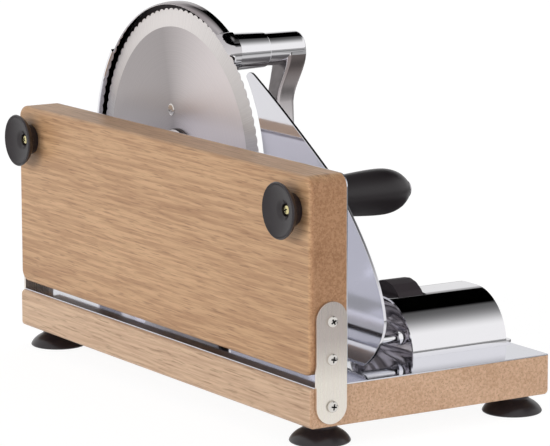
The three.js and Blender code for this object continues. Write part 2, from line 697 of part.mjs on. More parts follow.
// Gear cover behind the housing, with the bosses of the blade axle, idler pin and crank
const axleBossRadius = axleRadius * 2.2;
const axleBossLength = 13;
const idlerBossRadius = idlerPinRadius * 2;
const idlerBossLength = 4;
const shaftBushRadius = crankShaftRadius * 1.7;
const bushSeatY = coverBackY - coverThickness * 0.4;
const axleBackY = coverBackY + axleBossLength * 0.8;
const idlerPinBackY = coverBackY + idlerBossLength * 0.5;
piece('base', 'gear_cover', cut(
  joined(
    diskY(coverBladeRadius, bladeX, bladeZ, housingBackY, coverBackY, 24),
    diskY(coverIdlerRadius, idlerAxis.x, idlerAxis.y, housingBackY, coverBackY, 24),
    diskY(axleBossRadius, bladeX, bladeZ, housingBackY, coverBackY + axleBossLength, 16),
    diskY(idlerBossRadius, idlerAxis.x, idlerAxis.y, housingBackY, coverBackY + idlerBossLength, 14),
    diskY(bossRadius, crankAxis.x, crankAxis.y, housingBackY, bossEndY, 28)),
  diskY(axleRadius + runningGap, bladeX, bladeZ, housingBackY - overrun, axleBackY, 12),
  diskY(idlerPinRadius + runningGap, idlerAxis.x, idlerAxis.y, housingBackY - overrun, idlerPinBackY, 12),
  diskY(crankShaftRadius + runningGap, crankAxis.x, crankAxis.y, housingBackY - overrun, bossEndY + overrun, 12),
  diskY(shaftBushRadius + runningGap, crankAxis.x, crankAxis.y, bushSeatY, bossEndY + overrun, 16),
  ...coverScrewHoles(housingBackY - overrun, coverBackY + overrun)), chrome);
const coverScrewSizes = {
  head: coverFlange * 0.85,
  height: coverThickness * 0.6,
  shank: coverScrewShank,
  length: coverThickness + coverScrewLength,
};
pieces('base', 'gear_cover_screw', coverScrewPlaces.map((place) => screwGeometry(
  [0, 1, 0], [place.x, coverBackY, place.y], coverScrewSizes)), screwSteel);
piece('base', 'crank_bush', cut(
  diskY(shaftBushRadius, crankAxis.x, crankAxis.y, bushSeatY, bossEndY, 16),
  diskY(crankShaftRadius + runningGap, crankAxis.x, crankAxis.y, bushSeatY - overrun, bossEndY + overrun, 12)),
bronze);

// Fixed axle of the blade, and the pin of the idler
const axleHeadBackY = bladeFrontY - runningGap;
piece('base', 'blade_axle', turnedY([
  [0, axleHeadBackY - axleHeadThickness], [axleHeadRadius, axleHeadBackY - axleHeadThickness],
  [axleHeadRadius, axleHeadBackY], [axleRadius, axleHeadBackY],
  [axleRadius, axleBackY], [0, axleBackY],
], bladeX, bladeZ, 16), gearSteel);
const idlerHeadY = gearFrontY - runningGap;
piece('base', 'idler_pin', diskY(
  idlerPinRadius, idlerAxis.x, idlerAxis.y, idlerHeadY, idlerPinBackY, 16), gearSteel);

// Crank: shaft, hub, cranked arm and the pin that the grip turns on
const shaftStartY = gearFrontY - runningGap;
const hubBoreDepth = crankHubLength * 0.6;
piece('crank', 'crank_shaft', diskY(
  crankShaftRadius, crankAxis.x, crankAxis.y, shaftStartY, hubStartY + hubBoreDepth, 16), gearSteel);

// Seen along Y the arm tapers from the hub to a waist and ends in the eye
const armFace = new THREE.Shape();
const waistShare = 0.34;
armFace.moveTo(-crankArmShoulder / 2, 0);
armFace.absarc(0, 0, crankArmShoulder / 2, Math.PI, 0, true);
armFace.bezierCurveTo(
  crankArmShoulder / 2, -crankThrow * waistShare * 0.45,
  crankArmWidth / 2, -crankThrow * waistShare * 0.6,
  crankArmWidth / 2, -crankThrow * waistShare);
armFace.lineTo(crankArmWidth / 2, -crankThrow + crankEyeRadius);
armFace.absarc(0, -crankThrow, crankEyeRadius, Math.PI / 4, (3 * Math.PI) / 4, true);
armFace.lineTo(-crankArmWidth / 2, -crankThrow * waistShare);
armFace.bezierCurveTo(
  -crankArmWidth / 2, -crankThrow * waistShare * 0.6,
  -crankArmShoulder / 2, -crankThrow * waistShare * 0.45,
  -crankArmShoulder / 2, 0);
const armBlank = plateXZ(armFace, armFrontY - overrun, hubEndY, { curveSegments: 7 });
armBlank.rotateY(-radians(crankLean));
armBlank.translate(crankAxis.x, 0, crankAxis.y);

// Seen along X it steps from the end of the hub towards the blade
const setTop = crankAxis.y - crankHubLength * 0.06;
const setBottom = crankAxis.y - crankThrow * 0.37;
const armTop = crankAxis.y + crankArmShoulder;
const armBottom = crankAxis.y - crankThrow - crankEyeRadius * 2;
const hubInnerY = hubEndY - crankArmThickness * 1.09;
const armSide = new THREE.Shape();
armSide.moveTo(armFrontY, armBottom);
armSide.lineTo(armBackY, armBottom);
armSide.lineTo(armBackY, setBottom);
armSide.bezierCurveTo(armBackY, (setTop + setBottom) / 2, hubEndY, (setTop + setBottom) / 2, hubEndY, setTop);
armSide.lineTo(hubEndY, armTop);
armSide.lineTo(hubInnerY, armTop);
armSide.lineTo(hubInnerY, setTop);
armSide.bezierCurveTo(
  hubInnerY, (setTop + setBottom) / 2,
  armFrontY, (setTop + setBottom) / 2,
  armFrontY, setBottom);
const armSwing = crankThrow + overrun * 10;
const armProfile = solid(barYZ(armSide, crankAxis.x - armSwing, crankAxis.x + armSwing, { curveSegments: 8 }));
const crankHub = solid(turnedY([
  [0, hubStartY], [bossRadius, hubStartY], [bossRadius, hubEndY - bossRadius * 0.12],
  [bossRadius * 0.88, hubEndY], [0, hubEndY],
], crankAxis.x, crankAxis.y, 32));
const eyeHoleDepth = crankArmThickness * 0.7;
piece('crank', 'crank_arm', cut(
  joined(crankHub, solid(armBlank).intersect(armProfile)),
  diskY(crankShaftRadius + runningGap, crankAxis.x, crankAxis.y, hubStartY - overrun, hubStartY + hubBoreDepth, 16),
  diskY(handlePinRadius + runningGap, handleAxis.x, handleAxis.y, armBackY - eyeHoleDepth, armBackY + overrun, 16)),
chrome);

const gripStartY = armBackY + runningGap;
const gripEndY = gripStartY + gripLength;
const pinEndY = gripEndY - handleCapHeight * 3;
const pinHeadLength = 2;
const pinHeadRadius = handlePinRadius * 1.45;
piece('crank', 'handle_pin', turnedY([
  [0, armBackY - eyeHoleDepth], [handlePinRadius, armBackY - eyeHoleDepth],
  [handlePinRadius, pinEndY], [pinHeadRadius, pinEndY],
  [pinHeadRadius, pinEndY + pinHeadLength], [0, pinEndY + pinHeadLength],
], handleAxis.x, handleAxis.y, 14), screwSteel);

// Grip: a swelling barrel that turns on its pin, closed by a bright end cap
const gripProfileShares = [
  [0, 0.7], [0.08, 0.72], [0.3, 0.82], [0.55, 0.95], [0.72, 1], [0.82, 0.962], [0.9, 0.816], [0.955, 0.6], [0.985, 0.42],
];
const gripPoints = gripProfileShares.map(([along, wide]) => [gripRadius * wide, gripStartY + gripLength * along]);
const capSeatY = pinEndY + pinHeadLength + runningGap * 2;
const capSeatRadius = pinHeadRadius + runningGap;
const boreRadius = handlePinRadius + runningGap;
piece('handle', 'handle_grip', turnedY([
  [boreRadius, gripStartY], ...gripPoints,
  [capSeatRadius, gripPoints[8][1]], [capSeatRadius, pinEndY - runningGap], [boreRadius, pinEndY - runningGap],
  [boreRadius, gripStartY],
], handleAxis.x, handleAxis.y, 20), blackPlastic);
piece('handle', 'handle_end_cap', turnedY([
  [0, capSeatY], [capSeatRadius - runningGap, capSeatY], [capSeatRadius - runningGap, gripPoints[8][1]],
  [handleCapRadius, gripPoints[8][1]], [handleCapRadius * 0.9, gripEndY - handleCapHeight * 0.2],
  [handleCapRadius * 0.5, gripEndY], [0, gripEndY],
], handleAxis.x, handleAxis.y, 16), chrome);

// Fence plate: its left edge follows the blade, its long edge falls away to a rounded toe
const fenceArcRadius = bladeRadius + fenceArcGap;
const fenceBottom = baseTop + fenceFloorGap;
const fenceTip = onCircle(bladeX, bladeZ, fenceArcRadius, fenceTipAngle);
const fenceHeel = onCircle(bladeX, bladeZ, fenceArcRadius, fenceHeelAngle);
const fenceRun = boardLength - fenceEndInset - fenceTip.x;
const fenceFall = fenceTip.y - fenceBottom;
const alongFence = (share) => fenceTip.x + fenceRun * share;
const upFence = (share) => fenceBottom + fenceFall * share;
const fenceShape = new THREE.Shape();
fenceShape.moveTo(fenceHeel.x, fenceBottom);
fenceShape.lineTo(alongFence(0.86), upFence(0));
const fenceCurveShares = [
  [[0.95, 0.05], [1.01, 0.15], [0.999, 0.2]],
  [[0.975, 0.36], [0.78, 0.56], [0.6, 0.71]],
  [[0.42, 0.865], [0.21, 0.955], [0.1, 1.01]],
];
for (const curve of fenceCurveShares) {
  const [first, second, end] = curve.map(([along, up]) => [alongFence(along), upFence(up)]);
  fenceShape.bezierCurveTo(...first, ...second, ...end);
}
fenceShape.bezierCurveTo(
  alongFence(0.06), upFence(1.035),
  fenceTip.x + fenceTipRadius * 0.1, fenceTip.y + fenceTipRadius * 0.6,
  fenceTip.x, fenceTip.y);
fenceShape.absarc(bladeX, bladeZ, fenceArcRadius, radians(fenceTipAngle), radians(fenceHeelAngle), true);
piece('fence', 'fence_plate', plateXZ(
  fenceShape, fenceFrontY, fenceBackY, { easing: fenceThickness * 0.2, curveSegments: 9, bevelSegments: 1 }), mirrorSteel);

// Carriage behind the fence: it carries the threaded spindle and two guide rods
const rodPlaces = [wheelX - rodFarOffset, wheelX + rodOffset];
const spindleSeat = carriageThickness * 0.7;
const rodEndY = frameRearY + frameWall + sliceRange * 0.4;
const carriageBackY = fenceBackY + carriageThickness;
const carriageMargin = 9;
const carriageTop = wheelZ + carriageMargin;
const carriageShape = roundedBox(
  rodPlaces[0] - carriageMargin, rodZ - rodHeight * 0.6, rodPlaces[1] + carriageMargin * 0.6, carriageTop,
  Array(4).fill(carriageMargin * 0.5));
const fenceStudRadius = 2;
const fenceStudPlaces = [
  [rodPlaces[0], carriageTop - carriageMargin * 0.55],
  [rodPlaces[1], carriageTop - carriageMargin * 0.55],
];
piece('fence', 'fence_carriage', cut(
  solid(plateXZ(carriageShape, fenceBackY, carriageBackY, { curveSegments: 4 })),
  diskY(spindleRadius + runningGap, wheelX, wheelZ, carriageBackY - spindleSeat, carriageBackY + overrun, 16),
  ...rodPlaces.map((x) => diskY(
    rodRadius + runningGap, x, rodZ, carriageBackY - spindleSeat, carriageBackY + overrun, 12)),
  ...fenceStudPlaces.map(([x, z]) => diskY(
    fenceStudRadius + runningGap, x, z, fenceBackY - overrun, carriageBackY + overrun, 8))), gearSteel);
pieces('fence', 'fence_stud', fenceStudPlaces.map(([x, z]) => turnedY([
  [0, fenceBackY], [fenceStudRadius, fenceBackY], [fenceStudRadius, carriageBackY],
  [fenceStudRadius * 1.9, carriageBackY], [fenceStudRadius * 1.9, carriageBackY + fenceStudRadius * 1.2],
  [0, carriageBackY + fenceStudRadius * 1.6],
], x, z, 6)), screwSteel);
const rodStartY = carriageBackY - spindleSeat;
const rodNames = ['guide_rod_left', 'guide_rod_right'];
rodPlaces.forEach((x, i) => piece('fence', rodNames[i], diskY(
  rodRadius, x, rodZ, rodStartY, rodEndY, 12), chrome));
piece('fence', 'adjuster_spindle', diskY(
  spindleRadius, wheelX, wheelZ, rodStartY, rodEndY + sliceRange * 0.3, 14), gearSteel);

// Adjuster frame under the hood: two walls that trap the thumb wheel, on a screwed foot
const frameTop = wheelZ + spindleRadius * 2;
const frameBackY = frameRearY + frameWall;
const frameFitShape = hoodShape(hoodWall + runningGap);
const frameWalls = [frameFrontY, frameRearY].map((fromY) => solid(plateXZ(
  frameFitShape, fromY, fromY + frameWall, { curveSegments: 8 })));
const frameBores = [
  diskY(spindleRadius + runningGap, wheelX, wheelZ, frameFrontY - overrun, frameBackY + overrun, 14),
  ...rodPlaces.map((x) => diskY(rodRadius + runningGap, x, rodZ, frameFrontY - overrun, frameBackY + overrun, 12)),
];
const aboveFrame = blockOf(
  [hoodLeft - overrun, frameFrontY - overrun, frameTop],
  [hoodRight + overrun, frameBackY + overrun, hoodTop + overrun]);
const frameFoot = blockOf(
  [hoodLeft + hoodWall + runningGap, frameFrontY, baseTop],
  [hoodRight - hoodWall - runningGap * 2, frameBackY + frameFootDepth, baseTop + frameFloor]);
piece('base', 'adjuster_frame', cut(
  joined(...frameWalls, frameFoot), aboveFrame, ...frameBores), gearSteel);

// Ball shaped guide bushes on the front wall of the frame
const bushHalf = rodCollarRadius * 0.8;
const bushY = frameFrontY - bushHalf;
const bushSteps = 4;
const bushProfile = Array.from({ length: bushSteps + 1 }, (_, i) => {
  const along = -bushHalf + (2 * bushHalf * i) / bushSteps;
  return [Math.sqrt(rodCollarRadius ** 2 - along ** 2), bushY + along];
});
const bushInner = rodRadius + runningGap;
pieces('base', 'guide_bush', rodPlaces.map((x) => turnedY([
  [bushInner, bushY - bushHalf], ...bushProfile.map(([r, y]) => [Math.max(r, bushInner + runningGap), y]),
  [bushInner, bushY + bushHalf], [bushInner, bushY - bushHalf],
], x, rodZ, 14)), chrome);

// Thumb wheel: ribbed for the finger, threaded on the spindle
const ribPoints = [];
for (let i = 0; i < wheelRibCount * 4; i += 1) {
  const radius = wheelRadius - (i % 4 < 2 ? 0 : wheelRibDepth);
  const angle = (2 * Math.PI * i) / (wheelRibCount * 4);
  ribPoints.push(new THREE.Vector2(wheelX + radius * Math.cos(angle), wheelZ + radius * Math.sin(angle)));
}
const wheelShape = new THREE.Shape(ribPoints);
wheelShape.holes.push(new THREE.Path(circle(wheelX, wheelZ, spindleRadius + runningGap).getPoints(8)));
piece('thumbwheel', 'thumb_wheel', plateXZ(
  wheelShape, wheelFrontY, wheelFrontY + wheelWidth, { curveSegments: 12 }), blackPlastic);

// Hood: a bright shell, quarter round to the right, open at the front, with a slot for the wheel
const hoodBlank = solid(plateXZ(hoodShape(0), hoodFrontY, hoodBackY, { curveSegments: 10 }));
const hoodInside = solid(plateXZ(
  hoodShape(hoodWall), hoodFrontY - overrun, hoodBackY - hoodWall, { curveSegments: 10 }));
const hoodBelow = blockOf(
  [hoodLeft + hoodWall, hoodFrontY - overrun, baseTop - overrun],
  [hoodRight - hoodWall, hoodBackY - hoodWall, baseTop + hoodWall]);
const slotGap = 1.2;
const wheelSlot = diskY(
  wheelRadius + slotGap, wheelX, wheelZ, wheelFrontY - slotGap, wheelFrontY + wheelWidth + slotGap, 36);
const hoodEars = blockOf(
  [hoodLeft + hoodWidth * 0.08, hoodBackY - hoodWall, baseTop],
  [hoodRight - hoodWidth * 0.08, hoodBackY + hoodEarDepth, baseTop + hoodEarThickness]);
const hoodPilots = hoodScrewPlaces.map(([x, y]) => diskZ(
  pilotRadius, x, y, baseTop - overrun, baseTop + hoodEarThickness + overrun, 8));
piece('base', 'adjuster_hood', cut(
  joined(hoodBlank, hoodEars), hoodInside, hoodBelow, wheelSlot, ...hoodPilots), chrome);
pieces('base', 'hood_screw', hoodScrewPlaces.map(([x, y]) => screwGeometry(
  [0, 0, 1], [x, y, baseTop + hoodEarThickness])), screwSteel);

// Stand the slicer on its feet, with its origin under the middle
slicer.updateMatrixWorld(true);
const extent = new THREE.Box3().setFromObject(slicer);
slicer.position.set(
  -(extent.min.x + extent.max.x) / 2,
  -(extent.min.y + extent.max.y) / 2,
  -extent.min.z);
slicer.updateMatrixWorld(true);

export default slicer;
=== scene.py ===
# %% [markdown]
# # Hand crank bread slicer
# A folding bread slicer stands on a wooden base. A round serrated blade turns in an arched chrome guard,
# a crank on the far side drives it, and a polished fence slides back by a thumb wheel under a chrome hood.
# In front stands the bread table, a second board that is folded up. The engineering model comes first:
# it fixes every size and every joint, and each piece modelled here takes the place of one of its solids.

# %% Load the frame
import json
import math

import bpy
from mathutils import Matrix, Vector
from mathutils.geometry import interpolate_bezier


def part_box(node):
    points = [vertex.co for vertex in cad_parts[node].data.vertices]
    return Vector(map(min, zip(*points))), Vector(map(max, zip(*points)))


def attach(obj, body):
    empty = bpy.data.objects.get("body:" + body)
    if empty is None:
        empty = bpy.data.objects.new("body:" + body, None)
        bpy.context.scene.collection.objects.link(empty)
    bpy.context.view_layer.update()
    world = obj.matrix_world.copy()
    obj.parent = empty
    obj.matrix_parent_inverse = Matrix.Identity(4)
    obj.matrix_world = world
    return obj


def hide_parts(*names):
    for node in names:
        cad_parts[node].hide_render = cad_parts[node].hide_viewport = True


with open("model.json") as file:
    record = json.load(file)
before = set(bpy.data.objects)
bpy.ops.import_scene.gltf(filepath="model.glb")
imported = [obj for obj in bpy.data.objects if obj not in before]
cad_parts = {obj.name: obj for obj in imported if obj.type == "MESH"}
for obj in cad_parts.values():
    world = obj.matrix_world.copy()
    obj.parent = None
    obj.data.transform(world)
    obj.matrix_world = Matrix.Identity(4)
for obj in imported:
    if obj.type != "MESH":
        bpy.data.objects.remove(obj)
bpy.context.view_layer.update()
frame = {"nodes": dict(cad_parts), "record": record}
nodes = frame["nodes"]
mm = 0.001

# %% [markdown]
# ## The camera
# The camera stands far off to the right and a little above, with a long lens, as a product
# photographer would place it. Its place was found by matching the corners of the boards in the photograph.

# %% Camera
camera_data = bpy.data.cameras.new("camera")
camera_data.sensor_width = 36
camera_data.lens = 218.13
camera_data.clip_end = 50
camera = bpy.data.objects.new("camera", camera_data)
bpy.context.scene.collection.objects.link(camera)
bpy.context.scene.camera = camera
swing, tilt, roll = (math.radians(angle) for angle in (57.729, 90 - 10.134, -0.129))
camera.location = (1.78242, -1.12474, 0.47744)
camera.rotation_euler = (
    Matrix.Rotation(swing, 3, "Z") @ Matrix.Rotation(tilt, 3, "X") @ Matrix.Rotation(roll, 3, "Z")
).to_euler()
print("camera at", tuple(camera.location), "lens", camera_data.lens)

# %% [markdown]
# ## Colours and nodes
# Every colour is written as it would be picked from a photograph, as a hex value, and turned to the
# linear light that the renderer works in. One small function adds a node to a material with its
# settings and its links, and a few more put the steps that come up often in words.

# %% Helpers for materials
def colour(hex_value):
    """The linear colour of an sRGB hex value such as "#C79F73"."""
    parts = [int(hex_value[i:i + 2], 16) / 255 for i in (1, 3, 5)]
    return tuple(p / 12.92 if p <= 0.04045 else ((p + 0.055) / 1.055) ** 2.4 for p in parts) + (1,)


def add(tree, kind, settings=None, feeds=None):
    """Adds a node, gives it its settings, and sets or links its inputs, named or numbered."""
    made = tree.nodes.new(kind)
    for name, value in (settings or {}).items():
        setattr(made, name, value)
    for name, value in (feeds or {}).items():
        if isinstance(value, bpy.types.NodeSocket):
            tree.links.new(value, made.inputs[name])
        else:
            made.inputs[name].default_value = value
    return made


def surface(name, feeds):
    """A new material with one Principled surface: the material, its tree, its shader and its coordinates."""
    made = bpy.data.materials.new(name)
    made.use_nodes = True
    tree = made.node_tree
    tree.nodes.clear()
    shader = add(tree, "ShaderNodeBsdfPrincipled", feeds=feeds)
    add(tree, "ShaderNodeOutputMaterial", feeds={"Surface": shader.outputs["BSDF"]})
    return made, tree, shader, add(tree, "ShaderNodeTexCoord")


def ranged(tree, value, start, end, low=0.0, high=1.0, shape="LINEAR"):
    """A value carried from one range over to another, and held at its ends."""
    return add(tree, "ShaderNodeMapRange", {"interpolation_type": shape}, {
        "Value": value, "From Min": start, "From Max": end, "To Min": low, "To Max": high}).outputs[0]


def mixed(tree, share, first, second, blend="MIX"):
    """Two colours mixed by a share from 0 to 1."""
    return add(tree, "ShaderNodeMix", {"data_type": "RGBA", "blend_type": blend}, {
        0: share, 6: first, 7: second}).outputs[2]


def between(tree, share, first, second):
    """Two numbers mixed by a share from 0 to 1."""
    return add(tree, "ShaderNodeMix", {"data_type": "FLOAT"}, {0: share, 2: first, 3: second}).outputs[0]


def worked(tree, operation, first, second=0.0, clamp=False):
    """One step of arithmetic with numbers."""
    return add(tree, "ShaderNodeMath", {"operation": operation, "use_clamp": clamp}, {
        0: first, 1: second}).outputs[0]


def vectors(tree, operation, first, second=(0, 0, 0), output=0):
    """One step of arithmetic with vectors."""
    return add(tree, "ShaderNodeVectorMath", {"operation": operation}, {0: first, 1: second}).outputs[output]


def parted(tree, vector):
    """The outputs X, Y and Z of a vector."""
    return add(tree, "ShaderNodeSeparateXYZ", feeds={0: vector}).outputs


def noise(tree, place, scale, detail, roughness=0.5, distortion=0.0, shift=(0, 0, 0)):
    """The outputs of a noise with one scale for all ways, or with a scale for each way."""
    stretched = isinstance(scale, tuple)
    if stretched:
        place = add(tree, "ShaderNodeMapping", feeds={
            "Vector": place, "Location": shift, "Scale": scale}).outputs[0]
    return add(tree, "ShaderNodeTexNoise", feeds={
        "Vector": place, "Scale": 1.0 if stretched else scale, "Detail": detail,
        "Roughness": roughness, "Distortion": distortion}).outputs


def in_world(tree, way):
    """A direction of the object turned to the world's axes, as the shader's tangent needs it."""
    return add(tree, "ShaderNodeVectorTransform", {
        "vector_type": "VECTOR", "convert_from": "OBJECT", "convert_to": "WORLD"}, {0: way}).outputs[0]


print("one millimetre is", mm)

# %% [markdown]
# ## Oiled rubberwood
# Both boards are pale hardwood, planed, eased along the edges and oiled. The grain runs along the
# boards, so a noise drawn out along X gives fine streaks on the faces, about 40 mm long and 2 mm wide, and
# close specks on the end grain, as in real wood. A broad noise shifts the tone over whole boards, and a
# third gives the pores, short dark ticks about 15 mm long and one millimetre wide. End grain drinks more
# oil, so it is redder and darker than the faces.

# %% Wood
def rubberwood(name, pale, streak, pore, end_pale, end_dark, shift):
    """Oiled wood with its grain along X. Shift moves the pattern, so that no two boards are alike."""
    made, tree, shader, place = surface(name, {"Roughness": 0.42, "Specular IOR Level": 0.5})
    spot = place.outputs["Object"]
    tone = ranged(tree, noise(tree, spot, (2.5, 18, 30), 3.0, 0.5, 0.5, shift)["Fac"], 0.35, 0.68, 0.0, 0.7)
    streaks = ranged(tree, noise(tree, spot, (24, 520, 620), 3.0, 0.55, 0.3, shift)["Fac"], 0.38, 0.62)
    pores = ranged(tree, noise(tree, spot, (60, 900, 1000), 2.0, shift=shift)["Fac"], 0.56, 0.7, 0.0, 0.55)
    grain = between(tree, 0.6, tone, streaks)
    face = mixed(tree, pores, mixed(tree, grain, colour(pale), colour(streak)), colour(pore))
    end = mixed(tree, pores, mixed(tree, grain, colour(end_pale), colour(end_dark)), colour(pore))
    endwise = worked(tree, "ABSOLUTE", parted(tree, place.outputs["Normal"])["X"])
    tree.links.new(mixed(tree, ranged(tree, endwise, 0.45, 0.9), face, end), shader.inputs["Base Color"])
    dent = add(tree, "ShaderNodeBump", {"invert": True}, {
        "Strength": 0.25, "Distance": 0.15 * mm, "Height": pores})
    tree.links.new(dent.outputs["Normal"], shader.inputs["Normal"])
    return made


feed_wood = rubberwood("oiled rubberwood, bread table", "#D3AB83", "#A47A57", "#7A5233", "#B88C68", "#936744",
                       (3.1, 0.7, 1.9))
base_wood = rubberwood("oiled rubberwood, base", "#E0C1A2", "#B89478", "#8A6848", "#DCB799", "#BC9372",
                       (9.4, 5.2, 3.3))
print("wood:", feed_wood.name, "/", base_wood.name)

# %% [markdown]
# ## Bright metals
# Chrome plate is cast and polished metal under a mirror skin: nearly white, with hardly any blur. The
# sheets on the boards and the fence are rolled stainless steel, polished to a mirror with a slight haze.
# The screws of the feet are yellow passivated. Duller metals blur what they mirror: turned steel, the
# bronze bush, and castings plated as they leave the mould, whose darker colour is also a painted reflection.
# A near black steel colour is painted into recesses as painted shade.

# %% Bright metals
def bright_metal(name, hex_value, roughness, haze, size_mm):
    """A metal whose polish varies a little over patches of the given size."""
    made, tree, shader, place = surface(name, {"Base Color": colour(hex_value), "Metallic": 1.0})
    patches = noise(tree, place.outputs["Object"], 1 / (size_mm * mm), 4.0)
    blur = ranged(tree, patches["Fac"], 0.3, 0.7, roughness, roughness + haze)
    tree.links.new(blur, shader.inputs["Roughness"])
    return made


chrome = bright_metal("chrome plated zinc", "#F1F0F3", 0.03, 0.03, 30)
tray_steel = bright_metal("polished stainless sheet", "#E0E1E8", 0.05, 0.05, 25)
fence_steel = bright_metal("polished stainless fence", "#E2E1E6", 0.05, 0.04, 25)
screw_steel = bright_metal("nickel plated screw steel", "#DDD9D4", 0.1, 0.06, 3)
plated_steel = bright_metal("zinc plated steel", "#B5B0B5", 0.1, 0.08, 8)
yellow_steel = bright_metal("yellow passivated steel", "#DED39F", 0.15, 0.08, 3)
bronze = bright_metal("sintered bronze", "#A9814E", 0.35, 0.15, 1.5)
machined = bright_metal("machined steel", "#A3A2A5", 0.3, 0.1, 2)
cast_zinc_painted_darker = bright_metal("plated zinc as cast, painted darker as a reflection", "#8D8887", 0.38, 0.15, 4)
painted_shade_black = bright_metal("near black steel, painted shade in recesses", "#2E2829", 0.4, 0.15, 4)
print("bright metals:", chrome.name, tray_steel.name, fence_steel.name)

# %% [markdown]
# ## Brushed hinge plate
# The plates are cut from sheet and brushed lengthwise on a belt. The brush lines are about a tenth of a
# millimetre apart, drawn here three times as coarse so that they show. They change the roughness, and
# the anisotropy smears reflections across them. Towards the top the plates are painted a little darker, as a
# painted reflection of the bright floor that they mirror lower down.

# %% Brushed plate steel
plate_steel, tree, shader, place = surface("belt brushed stainless steel, painted darker at the top", {
    "Metallic": 1.0, "Anisotropic": 0.6})
lines = noise(tree, place.outputs["Object"], (3000, 3000, 40), 3.0)
# Painted reflection: the colour darkens from 40 to 66 mm up, in place of the bright floor mirrored lower
# down.
rise = ranged(tree, parted(tree, place.outputs["Object"])["Z"], 40 * mm, 66 * mm)
tone = mixed(tree, rise, colour("#F5EEE4"), colour("#CFC5BF"))
tree.links.new(mixed(tree, 0.12, tone, lines["Color"], "MULTIPLY"), shader.inputs["Base Color"])
tree.links.new(ranged(tree, lines["Fac"], 0.3, 0.7, 0.24, 0.36), shader.inputs["Roughness"])
tree.links.new(in_world(tree, (0, 0, 1)), shader.inputs["Tangent"])
print("brushed:", plate_steel.name)

# %% [markdown]
# ## Blade steel
# The blade is stainless steel, polished on a turning wheel, so its fine lines run in circles. The fan of
# light out from the middle is painted: the colour darkens away from one angle round the axle. The tangent
# of the shader follows those circles: it is the place on the blade, crossed with the axle. The bevel is
# ground across, by a wheel that moves from the edge inwards, so there the lines run outwards and the metal
# looks paler; its fan of light is painted too.

# %% Blade steel, turned and ground
blade_low, blade_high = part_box("blade")
blade_middle = Vector(((blade_low[0] + blade_high[0]) / 2, 0, (blade_low[2] + blade_high[2]) / 2))
blade_radius = 98 * mm
bevel_width = 11.9 * mm


def blade_finish(name, pale, dark, outwards, painted_highlight_at, spread, depth):
    """Steel with lines round the axle, or outwards from it, and a painted fan of light about one angle in
    degrees.
    """
    roughness = 0.36
    made, tree, shader, place = surface(name, {"Metallic": 1.0, "Anisotropic": 0.75})
    spoke = vectors(tree, "SUBTRACT", place.outputs["Object"], tuple(blade_middle))
    flat = vectors(tree, "MULTIPLY", spoke, (1, 0, 1))
    ring = vectors(tree, "CROSS_PRODUCT", flat, (0, 1, 0))
    tree.links.new(in_world(tree, flat if outwards else ring), shader.inputs["Tangent"])
    reach = vectors(tree, "LENGTH", flat, output="Value")
    parts = parted(tree, flat)
    turn = worked(tree, "ARCTAN2", parts["Z"], parts["X"])
    measure, pitch = (turn, 140) if outwards else (reach, 2200)
    lined = add(tree, "ShaderNodeCombineXYZ", feeds={"X": measure}).outputs[0]
    lines = noise(tree, lined, (pitch, 1, 1), 3.0)
    tone = mixed(tree, ranged(tree, lines["Fac"], 0.35, 0.65), colour(pale), colour(dark))
    # Painted highlight and shade: away from the bright angle the colour is multiplied towards dark grey.
    fan = worked(tree, "COSINE", worked(tree, "SUBTRACT", turn, math.radians(painted_highlight_at)))
    shade = ranged(tree, fan, spread, 1.0, depth, 0.0)
    tree.links.new(mixed(tree, shade, tone, colour("#3A3637"), "MULTIPLY"), shader.inputs["Base Color"])
    blur = ranged(tree, lines["Fac"], 0.3, 0.7, roughness, roughness + 0.08)
    tree.links.new(blur, shader.inputs["Roughness"])
    return made


blade_steel = blade_finish("turned stainless blade steel with a painted light fan", "#F1E9E9", "#E4DCDC", False, 40, 0.45, 0.5)
ground_steel = blade_finish("ground stainless bevel with a painted light fan", "#F3EEEC", "#E3DDDB", True, 95, 0.0, 0.42)
print("blade:", blade_steel.name, "and", ground_steel.name)

# %% [markdown]
# ## Chrome with painted reflection and shadow
# The crank's arm has satin sides, painted darker towards the hub, and the guard's rim is painted darker
# towards its top: both are painted reflections of darker surroundings. Inside the guard, in the narrow gap
# behind the teeth, the chrome is painted near black and made rough, as a painted shadow.

# %% Chrome with painted reflection and shadow
def chrome_painted_darker_by_height(name, bright, painted_dark, low, high, roughness):
    """Chrome painted darker from the low height to the high one, as a painted reflection."""
    made, tree, shader, place = surface(name, {"Metallic": 1.0, "Roughness": roughness})
    share = ranged(tree, parted(tree, place.outputs["Object"])["Z"], low, high)
    tree.links.new(mixed(tree, share, colour(bright), colour(painted_dark)), shader.inputs["Base Color"])
    return made


def chrome_with_painted_gap_shadow(name, bright, dark, inner, outer, low, high):
    """Chrome painted dark from one distance from the blade's axle to another, where it is above a height, as
    a painted shadow.
    """
    made, tree, shader, place = surface(name, {"Metallic": 1.0})
    flat = vectors(tree, "MULTIPLY", place.outputs["Object"], (1, 0, 1))
    away = vectors(tree, "DISTANCE", flat, tuple(blade_middle), "Value")
    raised = ranged(tree, parted(tree, place.outputs["Object"])["Z"], low, high)
    share = worked(tree, "MULTIPLY", ranged(tree, away, inner, outer), raised)
    tree.links.new(mixed(tree, share, colour(bright), colour(dark)), shader.inputs["Base Color"])
    tree.links.new(ranged(tree, share, 0.0, 1.0, 0.12, 0.45), shader.inputs["Roughness"])
    return made


